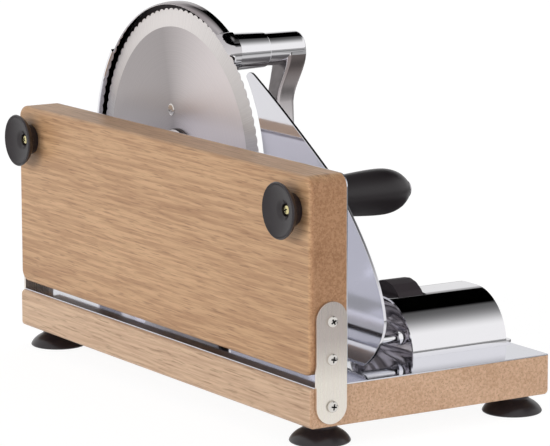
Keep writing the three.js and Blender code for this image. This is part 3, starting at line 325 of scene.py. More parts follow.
arm_chrome_painted_reflection = chrome_painted_darker_by_height("satin chrome of the arm, painted darker towards the hub", "#FAF6F8", "#918786", 155 * mm, 200 * mm, 0.16)
rim_chrome_painted_reflection = chrome_painted_darker_by_height("chrome of the rim, painted darker towards its top", "#F1F0F3", "#8E8587", 200 * mm, 236 * mm, 0.08)
guard_gap_painted_shadow = chrome_with_painted_gap_shadow("chrome inside the guard, with a painted shadow in the gap", "#D9D6DA", "#2E2829", 95.5 * mm, 98 * mm,
                           blade_middle.z - 6 * mm, blade_middle.z + 8 * mm)
print("chrome with painted reflection and shadow:", arm_chrome_painted_reflection.name, "/", rim_chrome_painted_reflection.name, "/", guard_gap_painted_shadow.name)

# %% [markdown]
# ## Rubber and plastic
# The feet are moulded black rubber with a soft sheen and dust-fine grain. The grip is moulded
# thermoplastic with a satin skin, the thumb wheel is the same but matt, and the gears behind the guard
# are moulded nylon.

# %% Moulded materials
def moulded(name, hex_value, roughness, grain_mm, depth):
    """A moulded material with a fine even grain, as the mould's own surface leaves it."""
    made, tree, shader, place = surface(name, {
        "Base Color": colour(hex_value), "Roughness": roughness, "Specular IOR Level": 0.5})
    grain = noise(tree, place.outputs["Object"], 1 / (grain_mm * mm), 2.0)
    lift = add(tree, "ShaderNodeBump", feeds={
        "Strength": depth, "Distance": 0.05 * mm, "Height": grain["Fac"]})
    tree.links.new(lift.outputs["Normal"], shader.inputs["Normal"])
    return made


rubber = moulded("moulded black rubber", "#231D20", 0.3, 0.8, 0.3)
grip_plastic = moulded("satin black thermoplastic", "#1D171A", 0.34, 0.6, 0.15)
wheel_plastic = moulded("matt black thermoplastic", "#2A2126", 0.6, 0.6, 0.3)
nylon = moulded("moulded white nylon", "#E4E2DB", 0.45, 1.0, 0.2)
print("moulded:", rubber.name, grip_plastic.name, wheel_plastic.name, nylon.name)

# %% [markdown]
# ## A finish for every solid of the frame
# The engineering model names a material slot for each of its solids. The solids that stay in view get
# the finish of their slot here, and the pieces modelled below are given their finish as they are made.

# %% Finishes by slot
finish_of_slot = {
    "wood": base_wood, "tray_steel": tray_steel, "fence_steel": fence_steel, "blade_steel": blade_steel,
    "plate_steel": plate_steel, "chrome": chrome, "screw_steel": screw_steel, "gear_steel": machined,
    "bronze": bronze, "rubber": rubber, "black_plastic": grip_plastic, "nylon": nylon,
}
slot_of_node = {part["node"]: part["material_slot"] for part in frame["record"]["subparts"]}
bodies = frame["record"]["behaviour"]["bodies"]
body_of_node = {name: body for body, names in bodies.items() for name in names}
for name, node in nodes.items():
    node.data.materials.clear()
    node.data.materials.append(finish_of_slot[slot_of_node[name]])
print("finishes given to", len(nodes), "solids")

# %% [markdown]
# ## Tools for modelling
# These few helpers do what a modeller does by hand: pick one object, pick faces or edges by where they
# lie, start a block, cut or join two solids, round edges, and paint some faces with another finish.

# %% Helpers for modelling
def extent(name):
    """The two corners of the box round a solid of the frame, in millimetres."""
    return [Vector(corner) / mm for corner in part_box(name)]


def depths(name):
    """Where a solid of the frame starts and ends along Y, in millimetres."""
    return [corner[1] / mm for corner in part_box(name)]


def alone(piece):
    """Selects one object and nothing else."""
    bpy.ops.object.select_all(action="DESELECT")
    piece.select_set(True)
    bpy.context.view_layer.objects.active = piece


def settle(piece):
    """Puts the piece's place into its mesh, with its origin at the frame's origin."""
    alone(piece)
    bpy.ops.object.transform_apply(location=True, rotation=True, scale=True)
    return piece


def edit_all(piece, kind="VERT"):
    """Enters edit mode with everything selected."""
    alone(piece)
    bpy.ops.object.mode_set(mode="EDIT")
    bpy.ops.mesh.select_mode(type=kind)
    bpy.ops.mesh.select_all(action="SELECT")


def leave():
    """Leaves edit mode."""
    bpy.ops.object.mode_set(mode="OBJECT")


def block(name, low, high):
    """A block between two corners, in millimetres."""
    bpy.ops.object.select_all(action="DESELECT")
    middle = [(a + b) / 2 * mm for a, b in zip(low, high)]
    bpy.ops.mesh.primitive_cube_add(size=1, location=middle)
    made = bpy.context.object
    made.name = name
    made.scale = [(b - a) * mm for a, b in zip(low, high)]
    return settle(made)


def pick(piece, kind, wanted):
    """Enters edit mode with the vertices, edges or faces selected that pass a test of place and direction."""
    alone(piece)
    bpy.ops.object.mode_set(mode="EDIT")
    bpy.ops.mesh.select_mode(type=kind)
    bpy.ops.mesh.select_all(action="DESELECT")
    leave()
    mesh = piece.data
    if kind == "VERT":
        for vertex in mesh.vertices:
            vertex.select = wanted(vertex.co / mm)
    elif kind == "EDGE":
        for edge in mesh.edges:
            a, b = (mesh.vertices[i].co for i in edge.vertices)
            edge.select = wanted((a + b) / 2 / mm, (b - a).normalized())
    else:
        for face in mesh.polygons:
            face.select = wanted(face.center / mm, face.normal)
    bpy.ops.object.mode_set(mode="EDIT")


def round_off(piece, wanted, width, segments):
    """Rounds the edges of a piece that pass a test, by a width in millimetres."""
    pick(piece, "EDGE", wanted)
    bpy.ops.mesh.bevel(offset=width * mm, segments=segments, affect="EDGES")
    leave()


def face_outwards(piece):
    """Turns every face of a closed mesh outwards."""
    edit_all(piece)
    bpy.ops.mesh.remove_doubles(threshold=1e-7)
    bpy.ops.mesh.normals_make_consistent(inside=False)
    leave()
    return piece


def ease(piece, width, segments=2, angle=35):
    """Rounds the sharp edges of a finished piece and smooths what is meant to be curved."""
    alone(piece)
    if width:
        rounding = piece.modifiers.new("rounding", "BEVEL")
        rounding.width = width * mm
        rounding.segments = segments
        rounding.limit_method = "ANGLE"
        rounding.angle_limit = math.radians(angle)
        rounding.use_clamp_overlap = True
        bpy.ops.object.modifier_apply(modifier=rounding.name)
    bpy.ops.object.shade_smooth_by_angle(angle=math.radians(angle))
    flat_first = piece.modifiers.new("flat faces first", "WEIGHTED_NORMAL")
    flat_first.keep_sharp = True
    bpy.ops.object.modifier_apply(modifier=flat_first.name)


def combine(piece, other, operation):
    """Joins, cuts or crops one closed mesh with another, which is used up."""
    alone(piece)
    step = piece.modifiers.new("with another", "BOOLEAN")
    step.object = other
    step.operation = operation
    step.solver = "EXACT"
    bpy.ops.object.modifier_apply(modifier=step.name)
    bpy.data.objects.remove(other)


def dress(piece, material, slot, body, *replaced):
    """Gives a piece a finish, unless it has its own, and its body, and hides the solids that it stands for.
    The slot is not used.
    """
    if material:
        piece.data.materials.clear()
        piece.data.materials.append(material)
    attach(piece, body)
    if replaced:
        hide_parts(*replaced)
    print(piece.name, "faces:", len(piece.data.polygons))


def paint(piece, material, wanted):
    """Gives another finish to those faces that pass a test and still have their first one."""
    piece.data.materials.append(material)
    for face in piece.data.polygons:
        if face.material_index == 0 and wanted(face.center / mm, face.normal):
            face.material_index = len(piece.data.materials) - 1


# %% [markdown]
# ## The lathe
# Much of a slicer is turned: feet, screws, bosses, the hub and the grip. The lathe starts from a circle
# across the axis, then extrudes its rim and moves and resizes the new ring for each point of
# the profile. A profile that comes back to its first point makes a ring or a tube.

# %% Lathe
ACROSS = {"X": (0, math.pi / 2, 0), "Y": (-math.pi / 2, 0, 0), "Z": (0, 0, 0)}
ALONG = {"X": Vector((1, 0, 0)), "Y": Vector((0, 1, 0)), "Z": Vector((0, 0, 1))}


def turned(name, profile, centre, axis="Y", steps=48):
    """A piece turned from a profile of (radius, place along the axis), in millimetres."""
    way = ALONG[axis]
    middle = Vector(centre) * mm
    hollow = profile[0] == profile[-1]
    (radius, along) = profile[0]
    bpy.ops.object.select_all(action="DESELECT")
    bpy.ops.mesh.primitive_circle_add(
        vertices=steps, radius=radius * mm, location=middle + way * along * mm, rotation=ACROSS[axis],
        fill_type="NOTHING" if hollow else "NGON")
    made = bpy.context.object
    made.name = name
    edit_all(settle(made), "EDGE")
    for (r0, a0), (r1, a1) in zip(profile, profile[1:]):
        bpy.ops.mesh.extrude_edges_move(TRANSFORM_OT_translate={"value": way * (a1 - a0) * mm})
        bpy.ops.transform.resize(value=(r1 / r0,) * 3, center_override=middle + way * a1 * mm)
    if not hollow:
        bpy.ops.mesh.edge_face_add()
    leave()
    return face_outwards(made)


def eased(profile, cut=0.5, steps=3):
    """Rounds the corners of a profile, so that turned edges catch the light."""
    rounded = [profile[0]]
    for before, here, after in zip(profile, profile[1:], profile[2:]):
        a, b, c = (Vector(p) for p in (before, here, after))
        short = min(cut, (a - b).length * 0.45, (c - b).length * 0.45)
        start, end = b + (a - b).normalized() * short, b + (c - b).normalized() * short
        for i in range(steps + 1):
            t = i / steps
            rounded.append(tuple(start * (1 - t) ** 2 + b * 2 * t * (1 - t) + end * t ** 2))
    return rounded + [profile[-1]]


def flowing(profile, steps=4):
    """A smooth line through the points of a profile."""
    points = [Vector(p) for p in profile]
    points = [points[0] * 2 - points[1]] + points + [points[-1] * 2 - points[-2]]
    line = []
    for a, b, c, d in zip(points, points[1:], points[2:], points[3:]):
        for i in range(steps):
            t = i / steps
            line.append(tuple(0.5 * (2 * b + (c - a) * t + (2 * a - 5 * b + 4 * c - d) * t ** 2
                                     + (3 * b - a - 3 * c + d) * t ** 3)))
    return line + [tuple(profile[-1])]


print("lathe ready, axes:", sorted(ALONG))

# %% [markdown]
# ## Outlines
# Plates start as a drawn outline: one point of a plane is kept and pulled round the outline with
# extrude, the loop is filled, and the face is extruded to its thickness.

# %% Plates from outlines
def drawn(name, points):
    """A flat face drawn point by point, in millimetres."""
    places = [Vector(point) * mm for point in points]
    bpy.ops.object.select_all(action="DESELECT")
    bpy.ops.mesh.primitive_plane_add(size=mm, location=places[0])
    made = bpy.context.object
    made.name = name
    edit_all(settle(made))
    bpy.ops.mesh.merge(type="CENTER")
    for here, there in zip(places, places[1:]):
        bpy.ops.mesh.extrude_vertices_move(TRANSFORM_OT_translate={"value": there - here})
    bpy.ops.mesh.select_all(action="SELECT")
    bpy.ops.mesh.edge_face_add()
    leave()
    return made


def plate(name, outline, depth, start, across="Y"):
    """A plate with an outline of (x, z), or of (y, z) across X, from its start and as deep as given."""
    made = drawn(name, [(a, start, b) if across == "Y" else (start, a, b) for a, b in outline])
    edit_all(made)
    bpy.ops.mesh.extrude_region_move(TRANSFORM_OT_translate={"value": ALONG[across] * depth * mm})
    leave()
    return face_outwards(made)


def arc(x, z, radius, start, end, steps):
    """Points of an arc, with its angles in degrees."""
    turns = (math.radians(start + (end - start) * i / steps) for i in range(steps + 1))
    return [(x + radius * math.cos(turn), z + radius * math.sin(turn)) for turn in turns]


def drill(piece, radius, start, end, centre, axis="Y", steps=40):
    """Cuts a round hole from one place along its axis to another."""
    combine(piece, turned("drill", [(radius, start), (radius, end)], centre, axis, steps), "DIFFERENCE")


print("an arc of 4 steps has", len(arc(0, 0, 1, 0, 90, 4)), "points")

# %% [markdown]
# ## The boards
# Each board starts as a block. The bread table has its four corners rounded and the edges of its outer
# face eased; on the base only the long edges and the ends are eased, so that the sheet can lie flush.

# %% Boards
table_corner = 8
low, high = extent("feed_board")
feed_board = block("bread_table_board", low, high)
round_off(feed_board, lambda middle, way: abs(way.y) > 0.9, table_corner, 8)
round_off(feed_board, lambda middle, way: abs(middle.y - low.y) < 0.01, 3, 5)
ease(feed_board, 0)
dress(feed_board, feed_wood, "wood", "feed_table", "feed_board")

low, high = extent("base_board")
base_board = block("base_board_wood", low, high)
round_off(base_board, lambda middle, way: abs(way.x) > 0.9 and (
    middle.z < low.z + 1 or middle.y < low.y + 1), 2.7, 5)
round_off(base_board, lambda middle, way: abs(way.x) < 0.1, 0.7, 3)
ease(base_board, 0)
dress(base_board, base_wood, "wood", "base", "base_board")

# %% [markdown]
# ## Sheets on the boards
# Thin polished sheets cover the tray and the inner face of the bread table. They are blocks less than a
# millimetre thick whose edges are just broken, so that they show as a bright line along the boards.

# %% Sheets
feed_sheet = block("bread_table_sheet", *extent("feed_sheet"))
round_off(feed_sheet, lambda middle, way: abs(way.y) > 0.9, table_corner, 8)
ease(feed_sheet, 0.15)
dress(feed_sheet, tray_steel, "tray_steel", "feed_table", "feed_sheet")

base_sheet = block("tray_sheet", *extent("base_sheet"))
round_off(base_sheet, lambda middle, way: abs(way.z) > 0.9, 1, 3)
ease(base_sheet, 0.15)
dress(base_sheet, tray_steel, "tray_steel", "base", "base_sheet")

# %% [markdown]
# ## Hinge plates
# A flat steel strip with round ends joins the boards at each end. It starts as a block whose corners are
# rounded until they meet, and it is drilled for its two wood screws and for the pivot that it turns on.

# %% Hinge plates
hole_heights = (25.4, 53.8, 76.5)
for name in ("hinge_plate_right", "hinge_plate_left"):
    low, high = extent(name)
    strap = block(name + "_brushed", low, high)
    round_off(strap, lambda middle, way: abs(way.x) > 0.9, (high.y - low.y) / 2 * 0.999, 16)
    for height in hole_heights:
        drill(strap, 2.1, low.x - 2, high.x + 2, (0, (low.y + high.y) / 2, height), "X", 24)
    ease(strap, 0.4, 3)
    dress(strap, plate_steel, "plate_steel", "feed_table", name)

# %% [markdown]
# ## Screws
# All screws are pan heads with a cross recess. One is turned for each kind, its cross is cut by
# two crossed wedges, and it is then copied to every place where the frame has a screw. The faces
# of the recess are painted near black, as painted shade.

# %% Screw masters
def screw(name, head, height, shank, length, finish):
    """A pan head screw that points up from the origin."""
    stem = [(shank * 0.2, -length), (shank, -length + shank), (shank, 0)]
    crown = [(head, 0), (head, height * 0.35), (head * 0.93, height * 0.62), (head * 0.78, height * 0.84),
             (head * 0.5, height * 0.97), (head * 0.12, height)]
    made = turned(name, stem + crown, (0, 0, 0), "Z", 32)
    narrow, wide, bottom = head * 0.3, head * 1.2, height - height * 0.8
    for x, y in ((wide, narrow), (narrow, wide)):
        wedge = block("wedge", (-x / 2, -y / 2, bottom), (x / 2, y / 2, height + 1))
        pick(wedge, "FACE", lambda middle, normal: normal.z < -0.9)
        bpy.ops.transform.resize(value=(0.7, 0.7, 1), center_override=(0, 0, 0))
        leave()
        combine(made, wedge, "DIFFERENCE")
    ease(made, 0, angle=32)
    made.data.materials.append(finish)
    # Painted shade: the faces inside the cross recess get a near black steel colour.
    paint(made, painted_shade_black, lambda place, normal: (
        0 < place.z < height and math.hypot(place.x, place.y) < head * 0.62
        and (abs(normal.z) < 0.7 or place.z < height * 0.5)))
    return made


screw_ways = {
    "hinge_plate_screw": "X", "hinge_pivot_screw": "X", "housing_screw": "+Z", "hood_screw": "+Z",
    "gear_cover_screw": "+Y", "base_foot_screw": "-Z", "feed_foot_screw": "-Y",
}
print("kinds of screw:", len(screw_ways))

# %% Screws in place
masters = {}
for name in sorted(nodes):
    kind = name.rstrip("0123456789").rstrip("_")
    if kind not in screw_ways:
        continue
    low, high = extent(name)
    middle, span = (low + high) / 2, high - low
    way = screw_ways[kind]
    out = -1 if way[0] == "-" or (way == "X" and middle.x < 0) else 1
    number = "XYZ".index(way[-1])
    height, shank = (1.5, 1.3) if kind == "gear_cover_screw" else (2.2, 1.8)
    if kind not in masters:
        head = min(span[i] for i in range(3) if i != number) / 2
        finish = yellow_steel if "foot" in kind else screw_steel
        masters[kind] = screw(kind + "_master", head, height, shank, span[number] - height, finish)
    made = masters[kind].copy()
    made.data = masters[kind].data.copy()
    bpy.context.scene.collection.objects.link(made)
    made.name = name + "_cross"
    seat = middle.copy()
    seat[number] = (high[number] if out > 0 else low[number]) - out * height
    turn = Vector((0, 0, 1)).rotation_difference(ALONG[way[-1]] * out).to_matrix().to_4x4()
    spin = Matrix.Rotation(0.7 + 1.3 * len(masters) + 0.9 * int(name[-1]), 4, "Z")
    made.matrix_world = Matrix.Translation(seat * mm) @ turn @ spin
    settle(made)
    dress(made, None, "screw_steel", body_of_node[name], name)
for master in masters.values():
    bpy.data.objects.remove(master)

# %% [markdown]
# ## Suction feet
# The feet are rubber mouldings: a neck against the board, a domed skirt and a soft lip round an open cup,
# with the screw sunk in the middle. The four under the base are seen from the side, and
# the two on the bread table show their cups.

# %% Feet
def foot_profile(radius, height):
    """The line of a foot, from the bore out over the cup and the lip, and back up the skirt to the neck."""
    cup = [(3.9, 0.5), (5.8, 0.6), (6.4, 0.64), (7.4, 0.655), (10, 0.685), (12.5, 0.735), (14.4, 0.8),
           (radius * 0.915, 0.89)]
    lip = [(radius * 0.93, 0.96), (radius * 0.945, 0.99), (radius * 0.965, 1), (radius * 0.985, 0.98),
           (radius, 0.93)]
    skirt = [(radius * 0.985, 0.87), (radius * 0.94, 0.76), (radius * 0.87, 0.64), (radius * 0.78, 0.53),
             (radius * 0.68, 0.44), (radius * 0.6, 0.37), (10.3, 0.3), (9.9, 0.22), (9.8, 0.04), (9.5, 0)]
    bore = [(2.1, 0), (2.1, 0.3), (3.7, 0.3), (3.8, 0.33), (3.9, 0.5)]
    return [(r, down * height) for r, down in cup + lip + skirt + bore]


def add_foot(name, made_name, body, axis, radius):
    """A foot in the place of a solid, turned about the axis that it stands along."""
    low, high = extent(name)
    centre, number = (low + high) / 2, "XYZ".index(axis)
    centre[number] = 0
    profile = [(r, high[number] - down) for r, down in foot_profile(radius, high[number] - low[number])]
    foot = turned(made_name, profile, centre, axis, 64)
    ease(foot, 0, angle=40)
    dress(foot, rubber, "rubber", body, name)


for corner in ("front_left", "front_right", "rear_left", "rear_right"):
    add_foot("base_foot_" + corner, "base_foot_rubber_" + corner, "base", "Z", 18.6)
for end in ("left", "right"):
    add_foot("feed_foot_" + end, "feed_foot_rubber_" + end, "feed_table", "Y", 17.2)

# %% [markdown]
# ## The blade
# The blade starts as the circle where the grind begins. Its rim is extruded out over the bevel to the
# edge, and there the points are pulled in, one in four the most, which leaves 98 shallow scallops. The
# rim is then taken back to the rear face and in to the bore, and the bore is bridged to the first circle.

# %% Blade
def extrude_edges(distance):
    """Extrudes the selected edges along Y."""
    bpy.ops.mesh.extrude_edges_move(TRANSFORM_OT_translate={"value": (0, distance * mm, 0)})


def resize_round_axle(share):
    """Resizes what is selected about the blade's axle."""
    bpy.ops.transform.resize(value=(share, 1, share), center_override=centre)


bx, bz = blade_middle.x / mm, blade_middle.z / mm
blade_front, blade_back = depths("blade")
teeth, scallop, edge_land, blade_bore = 98, 1.3, 0.25, 10.4
step = 360 / (teeth * 4)
reach = blade_radius / mm
centre = Vector((bx, 0, bz)) * mm
bpy.ops.object.select_all(action="DESELECT")
bpy.ops.mesh.primitive_circle_add(
    vertices=teeth * 4, radius=blade_radius - bevel_width,
    location=centre + Vector((0, blade_front * mm, 0)), rotation=ACROSS["Y"], fill_type="NOTHING")
blade = settle(bpy.context.object)
blade.name = "blade_scalloped"
edit_all(blade, "EDGE")
extrude_edges(blade_back - blade_front - edge_land)
resize_round_axle(blade_radius / (blade_radius - bevel_width))
leave()
for part, inwards in ((0, scallop), (1, scallop * 0.24), (3, scallop * 0.24)):

    def on_scallop(place):
        x, z = place.x - bx, place.z - bz
        number = round(math.degrees(math.atan2(x, z)) / step) % 4
        return math.hypot(x, z) > reach - 0.1 and number == part

    pick(blade, "VERT", on_scallop)
    resize_round_axle((reach - inwards) / reach)
    leave()
pick(blade, "EDGE", lambda middle, way: (
    math.hypot(middle.x - bx, middle.z - bz) > reach - 3 and abs(way.y) < 0.1))
extrude_edges(edge_land)
bpy.ops.mesh.extrude_edges_move()
resize_round_axle(blade_bore / reach)
extrude_edges(blade_front - blade_back)
leave()
pick(blade, "EDGE", lambda middle, way: abs(middle.y - blade_front) < 0.01)
bpy.ops.mesh.bridge_edge_loops()
leave()
face_outwards(blade)
ease(blade, 0, angle=20)
dress(blade, blade_steel, "blade_steel", "blade", "blade")
paint(blade, ground_steel, lambda place, normal: (
    normal.y < -0.5 and math.hypot(place.x - bx, place.z - bz) > 87))

# %% [markdown]
# ## Hub cap, carrier and pins
# A shallow polished cap covers the axle; its side is painted near black as a painted shadow gap. Behind the
# blade sits its carrier, a disk and sleeve, and three pins are riveted through the blade; the head of one
# shows above the bread table.

# %% Hub cap and carrier
cap_front, cap_back = blade_front - 4.2, blade_front - 0.02
hub_cap = turned("hub_cap_polished", eased([
    (1, cap_front), (16.6, cap_front + 0.1), (20, cap_front + 1.7), (20, cap_back), (17.4, cap_back),
    (17.4, cap_front + 1.3), (1, cap_front + 1.3)], 0.8, 4), (bx, 0, bz), "Y", 72)
ease(hub_cap, 0, angle=30)
dress(hub_cap, blade_steel, "blade_steel", "blade", "blade_hub_cap")
# Painted shadow: the cap's side is near black, as a shadow gap round the cap.
paint(hub_cap, painted_shade_black, lambda place, normal: abs(normal.y) < 0.8)

sleeve_end = depths("blade_carrier")[1]
disk_back = blade_back + 1.2
carrier = turned("blade_carrier_turned", [
    (5.5, blade_front), (10, blade_front), (10, blade_back), (38, blade_back), (38, disk_back),
    (10, disk_back), (10, sleeve_end), (5.5, sleeve_end), (5.5, blade_front)], (bx, 0, bz), "Y", 64)
ease(carrier, 0, angle=30)
dress(carrier, machined, "gear_steel", "blade", "blade_carrier")
pin_profile = eased([
    (0.4, blade_front - 0.62), (3.3, blade_front - 0.6), (3.9, blade_front - 0.3), (3.9, blade_front - 0.03),
    (1.9, blade_front - 0.02), (1.9, disk_back), (0.4, disk_back)], 0.15, 2)
for number, angle in enumerate((104, 224, 344)):
    pin_x = bx + 32.6 * math.cos(math.radians(angle))
    pin_z = bz + 32.6 * math.sin(math.radians(angle))
    pin = turned("drive_pin_%d" % (number + 1), pin_profile, (pin_x, 0, pin_z), "Y", 32)
    ease(pin, 0, angle=30)
    dress(pin, screw_steel, "gear_steel", "blade")

# %% [markdown]
# ## The guard
# The housing is a cast and chromed shell. Its arched plate stands behind the blade, and a thin rim comes
# forward round the teeth, a little prouder on the lower left. At the rim's end stands a rounded tab,
# trimmed clear of the teeth, that carries the front of the crank's boss. The rims are swept
# round the blade's axle with spin, and all parts are joined.

# %% Guard plate and rims
tray_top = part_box("base_sheet")[1][2] / mm
plate_front, plate_back = -33.2, -31.2
rim_inner, rim_outer, inset, shoulder = 100.4, 102.3, 1.1, 85.0
rim_end, rim_step = 53.9, 142
crank_x, crank_z = 0.0247, 213.4835
idler_x, idler_z = -30.6583, 191.7541
foot_left, foot_right = bx - rim_outer + inset, bx + shoulder * 0.621
foot_angle = -math.degrees(math.acos((foot_right - bx) / shoulder))
arch = ([(foot_left, tray_top), (foot_right, tray_top)] + arc(bx, bz, shoulder, foot_angle, rim_end, 40)
        + arc(bx, bz, rim_outer - inset, rim_end, 180, 72))
guard = plate("guard_chrome", arch, plate_back - plate_front, plate_front)


def swept(name, section, start, end, steps, drop=0):
    """A section of (radius, y) swept round the blade's axle, and then straight down by the drop."""
    turn = math.radians(start)
    made = drawn(name, [(bx + r * math.cos(turn), y, bz + r * math.sin(turn)) for r, y in section])
    edit_all(made)
    bpy.ops.mesh.spin(steps=steps, angle=math.radians(end - start), center=centre, axis=(0, 1, 0))
    if drop:
        bpy.ops.mesh.extrude_region_move(TRANSFORM_OT_translate={"value": (0, 0, -drop * mm)})
    leave()
    return face_outwards(made)


upper_section = [
    (100.4, -40.4), (100.5, -40.9), (100.8, -41.2), (101.1, -41.0), (101.5, -39.8), (101.9, -38.0),
    (102.2, -36.2), (102.3, -35.2), (102.3, -31.5), (102.0, -31.22), (100.4, -31.22)]
lower_section = [
    (100.4, -41.6), (100.8, -42.0), (102.7, -42.0), (103.1, -41.6), (103.1, -31.6), (102.7, -31.22),
    (100.4, -31.22)]
tab_profile = [
    (1, -41.2), (11.0, -41.2), (11.5, -41.0), (11.9, -40.0), (12.3, -38.4), (12.6, -36.6), (12.8, -35.2),
    (12.8, -31.5), (12.5, -31.2), (1, -31.2)]
boss_profile = [(1, -37.2), (9.6, -37.2), (11.2, -36.6), (12.0, -35.2), (12.0, -31.2), (1, -31.2)]
room_profile = [(1, -45), (104.4, -45), (104.4, -31.3), (1, -31.3)]
upper_rim = swept("upper_rim", upper_section, rim_end, rim_step, 88)
lower_rim = swept("lower_rim", lower_section, rim_step, 180, 36, bz - tray_top)
tab = turned("tab", tab_profile, (crank_x, 0, crank_z), "Y", 56)
combine(tab, turned("reach_room", room_profile, (bx, 0, bz), "Y", 160), "INTERSECT")
combine(tab, turned("boss_front", boss_profile, (crank_x, 0, crank_z), "Y", 64), "UNION")
drill(tab, rim_inner, -45, -36.4, (bx, 0, bz), "Y", 160)
for part in (upper_rim, lower_rim, tab):
    combine(guard, part, "UNION")
print("guard:", len(guard.data.polygons), "faces, foot angle", round(foot_angle, 1))

# %% [markdown]
# ## The guard's foot and window
# Behind the plate a flange with two gussets stands on the tray and takes three screws. A window of three
# overlapping circles lets the gears stand in the plate's thickness. Rear faces are left as they are
# cast and plated, and their darker colour is also a painted reflection. The narrow gap round the teeth gets a
# painted shadow, and the rim is painted darker towards its top as a painted reflection.

# %% Guard foot and gear window
inside, skin = (plate_front + plate_back) / 2, 0.2
flange = block("flange", (foot_left + skin, inside, tray_top + skin),
               (foot_right - skin, plate_back + 30, tray_top + 3))
round_off(flange, lambda middle, way: abs(way.z) > 0.9 and middle.y > plate_back, 4, 5)
combine(guard, flange, "UNION")
for x in (foot_left + 28, foot_right - 32):
    gusset = plate("gusset", [
        (inside, tray_top + 0.5), (plate_back + 24, tray_top + 0.5), (plate_back + 24, tray_top + 6),
        (inside, tray_top + 35)], 4, x, "X")
    combine(guard, gusset, "UNION")
for x, z, radius, start in ((bx, bz, 30.95, blade_back), (idler_x, idler_z, 32.46, blade_back),
                            (crank_x, crank_z, 9.9, -36.3)):
    drill(guard, radius, start, -20, (x, 0, z), "Y", 72)
ease(guard, 0.2, 2, 40)
dress(guard, chrome, "chrome", "base", "housing")


def from_axle(place):
    """The way from the blade's axle to a place, square to the axle."""
    return Vector((place.x - bx, 0, place.z - bz))


def inner_face(place, normal):
    """Tells the faces that look forward on the guard's plate and at the front of the crank's boss."""
    return normal.y < -0.5 and (place.y > plate_front - 0.5 or from_axle(place).length > 104.2)


def on_rim(place, normal):
    """Tells the faces of the rim that don't look back at the teeth."""
    spoke = from_axle(place)
    return spoke.length > rim_inner and normal.dot(spoke.normalized()) > -0.5


# Rear faces as cast and rougher, with a darker colour that is a painted reflection of the shaded floor
# behind.
paint(guard, cast_zinc_painted_darker, lambda place, normal: normal.y > 0.5 and place.y < 0)
# Painted shadow: forward faces of the plate and of the boss's front are painted near black from the gap round
# the teeth outwards.
paint(guard, guard_gap_painted_shadow, inner_face)
# Painted reflection: the rim is painted darker towards its top.
paint(guard, rim_chrome_painted_reflection, on_rim)

# %% [markdown]
# ## Gear cover and boss
# Behind the gears a chromed cover closes the window. It carries the bosses of the blade's axle, of the
# idler's pin and, longest of them, of the crank; the crank's boss is seen over the fence.

# %% Gear cover
cover_back, boss_end = -28.7, -8.7


def disk(radius, x, z, start, end, steps=64, edge=0.5):
    """A round boss or cover with its rear edge just rounded."""
    return turned("disk", eased([(0.5, start), (radius, start), (radius, end), (0.5, end)], edge, 3),
                  (x, 0, z), "Y", steps)


cover = disk(37.35, bx, bz, plate_back + 0.02, cover_back)
cover.name = "gear_cover_chrome"
within = (plate_back + cover_back) / 2
for part in (
        disk(35.66, idler_x, idler_z, plate_back + 0.05, cover_back - 0.03),
        disk(11.44, bx, bz, within, -15.7, 48, 1),
        disk(8, idler_x, idler_z, within, -24.7, 40, 0.8),
        turned("boss", [
            (0.5, plate_back + 0.08), (12.0, plate_back + 0.08), (11.3, boss_end - 0.25),
            (11.05, boss_end), (0.5, boss_end)], (crank_x, 0, crank_z), "Y", 96)):
    combine(cover, part, "UNION")
for x, z, radius, start, end in (
        (bx, bz, 5.5, -40, -18.3), (idler_x, idler_z, 4.3, -40, -26.7),
        (crank_x, crank_z, 4.52, -40, -5), (crank_x, crank_z, 7.46, -29.7, -5)):
    drill(cover, radius, start, end, (x, 0, z))
ease(cover, 0, angle=32)
dress(cover, chrome, "chrome", "base", "gear_cover")
# Rear faces as cast and rougher, with a darker colour that is a painted reflection of the shaded floor
# behind.
paint(cover, cast_zinc_painted_darker, lambda place, normal: normal.y > 0.5 and place.y < -12)

# %% [markdown]
# ## Crank hub and arm
# Hub and arm are one chromed casting. The arm leaves the end of the hub, narrows, and steps in towards
# the blade. It is drawn as a stack of rounded rectangles, each extruded from the last, moved along
# the S and resized; the hub and the eye for the grip's pin are turned and joined to it.

# %% Crank arm
hub_start, hub_end = -8.4, 19.2
arm_front, arm_back = -3.4, 9.8
throw, lean = 98.31, 0.07694
top_half, low_half = 10.3, 6.5
top_depth, low_depth = 14.4, 13.2
grip_x, grip_z = 7.5892, 115.1741
shoulder_line = interpolate_bezier(
    Vector((0, top_half, 0)), Vector((15, top_half, 0)), Vector((20, low_half, 0)),
    Vector((33.5, low_half, 0)), 13)
stations = [(point.x, point.y) for point in shoulder_line] + [
    (drop, low_half) for drop in (45, 60, 75, 90, throw)]


def arm_place(drop):
    """Middle and depth of the arm across Y, at a drop below the crank's axis."""
    share = min(max((drop - 1.7) / 34.8, 0), 1)
    shift = share * share * (3 - 2 * share)
    middle = hub_end - 7.2 + (arm_back - 6.6 - hub_end + 7.2) * shift
    return middle, top_depth + (low_depth - top_depth) * shift


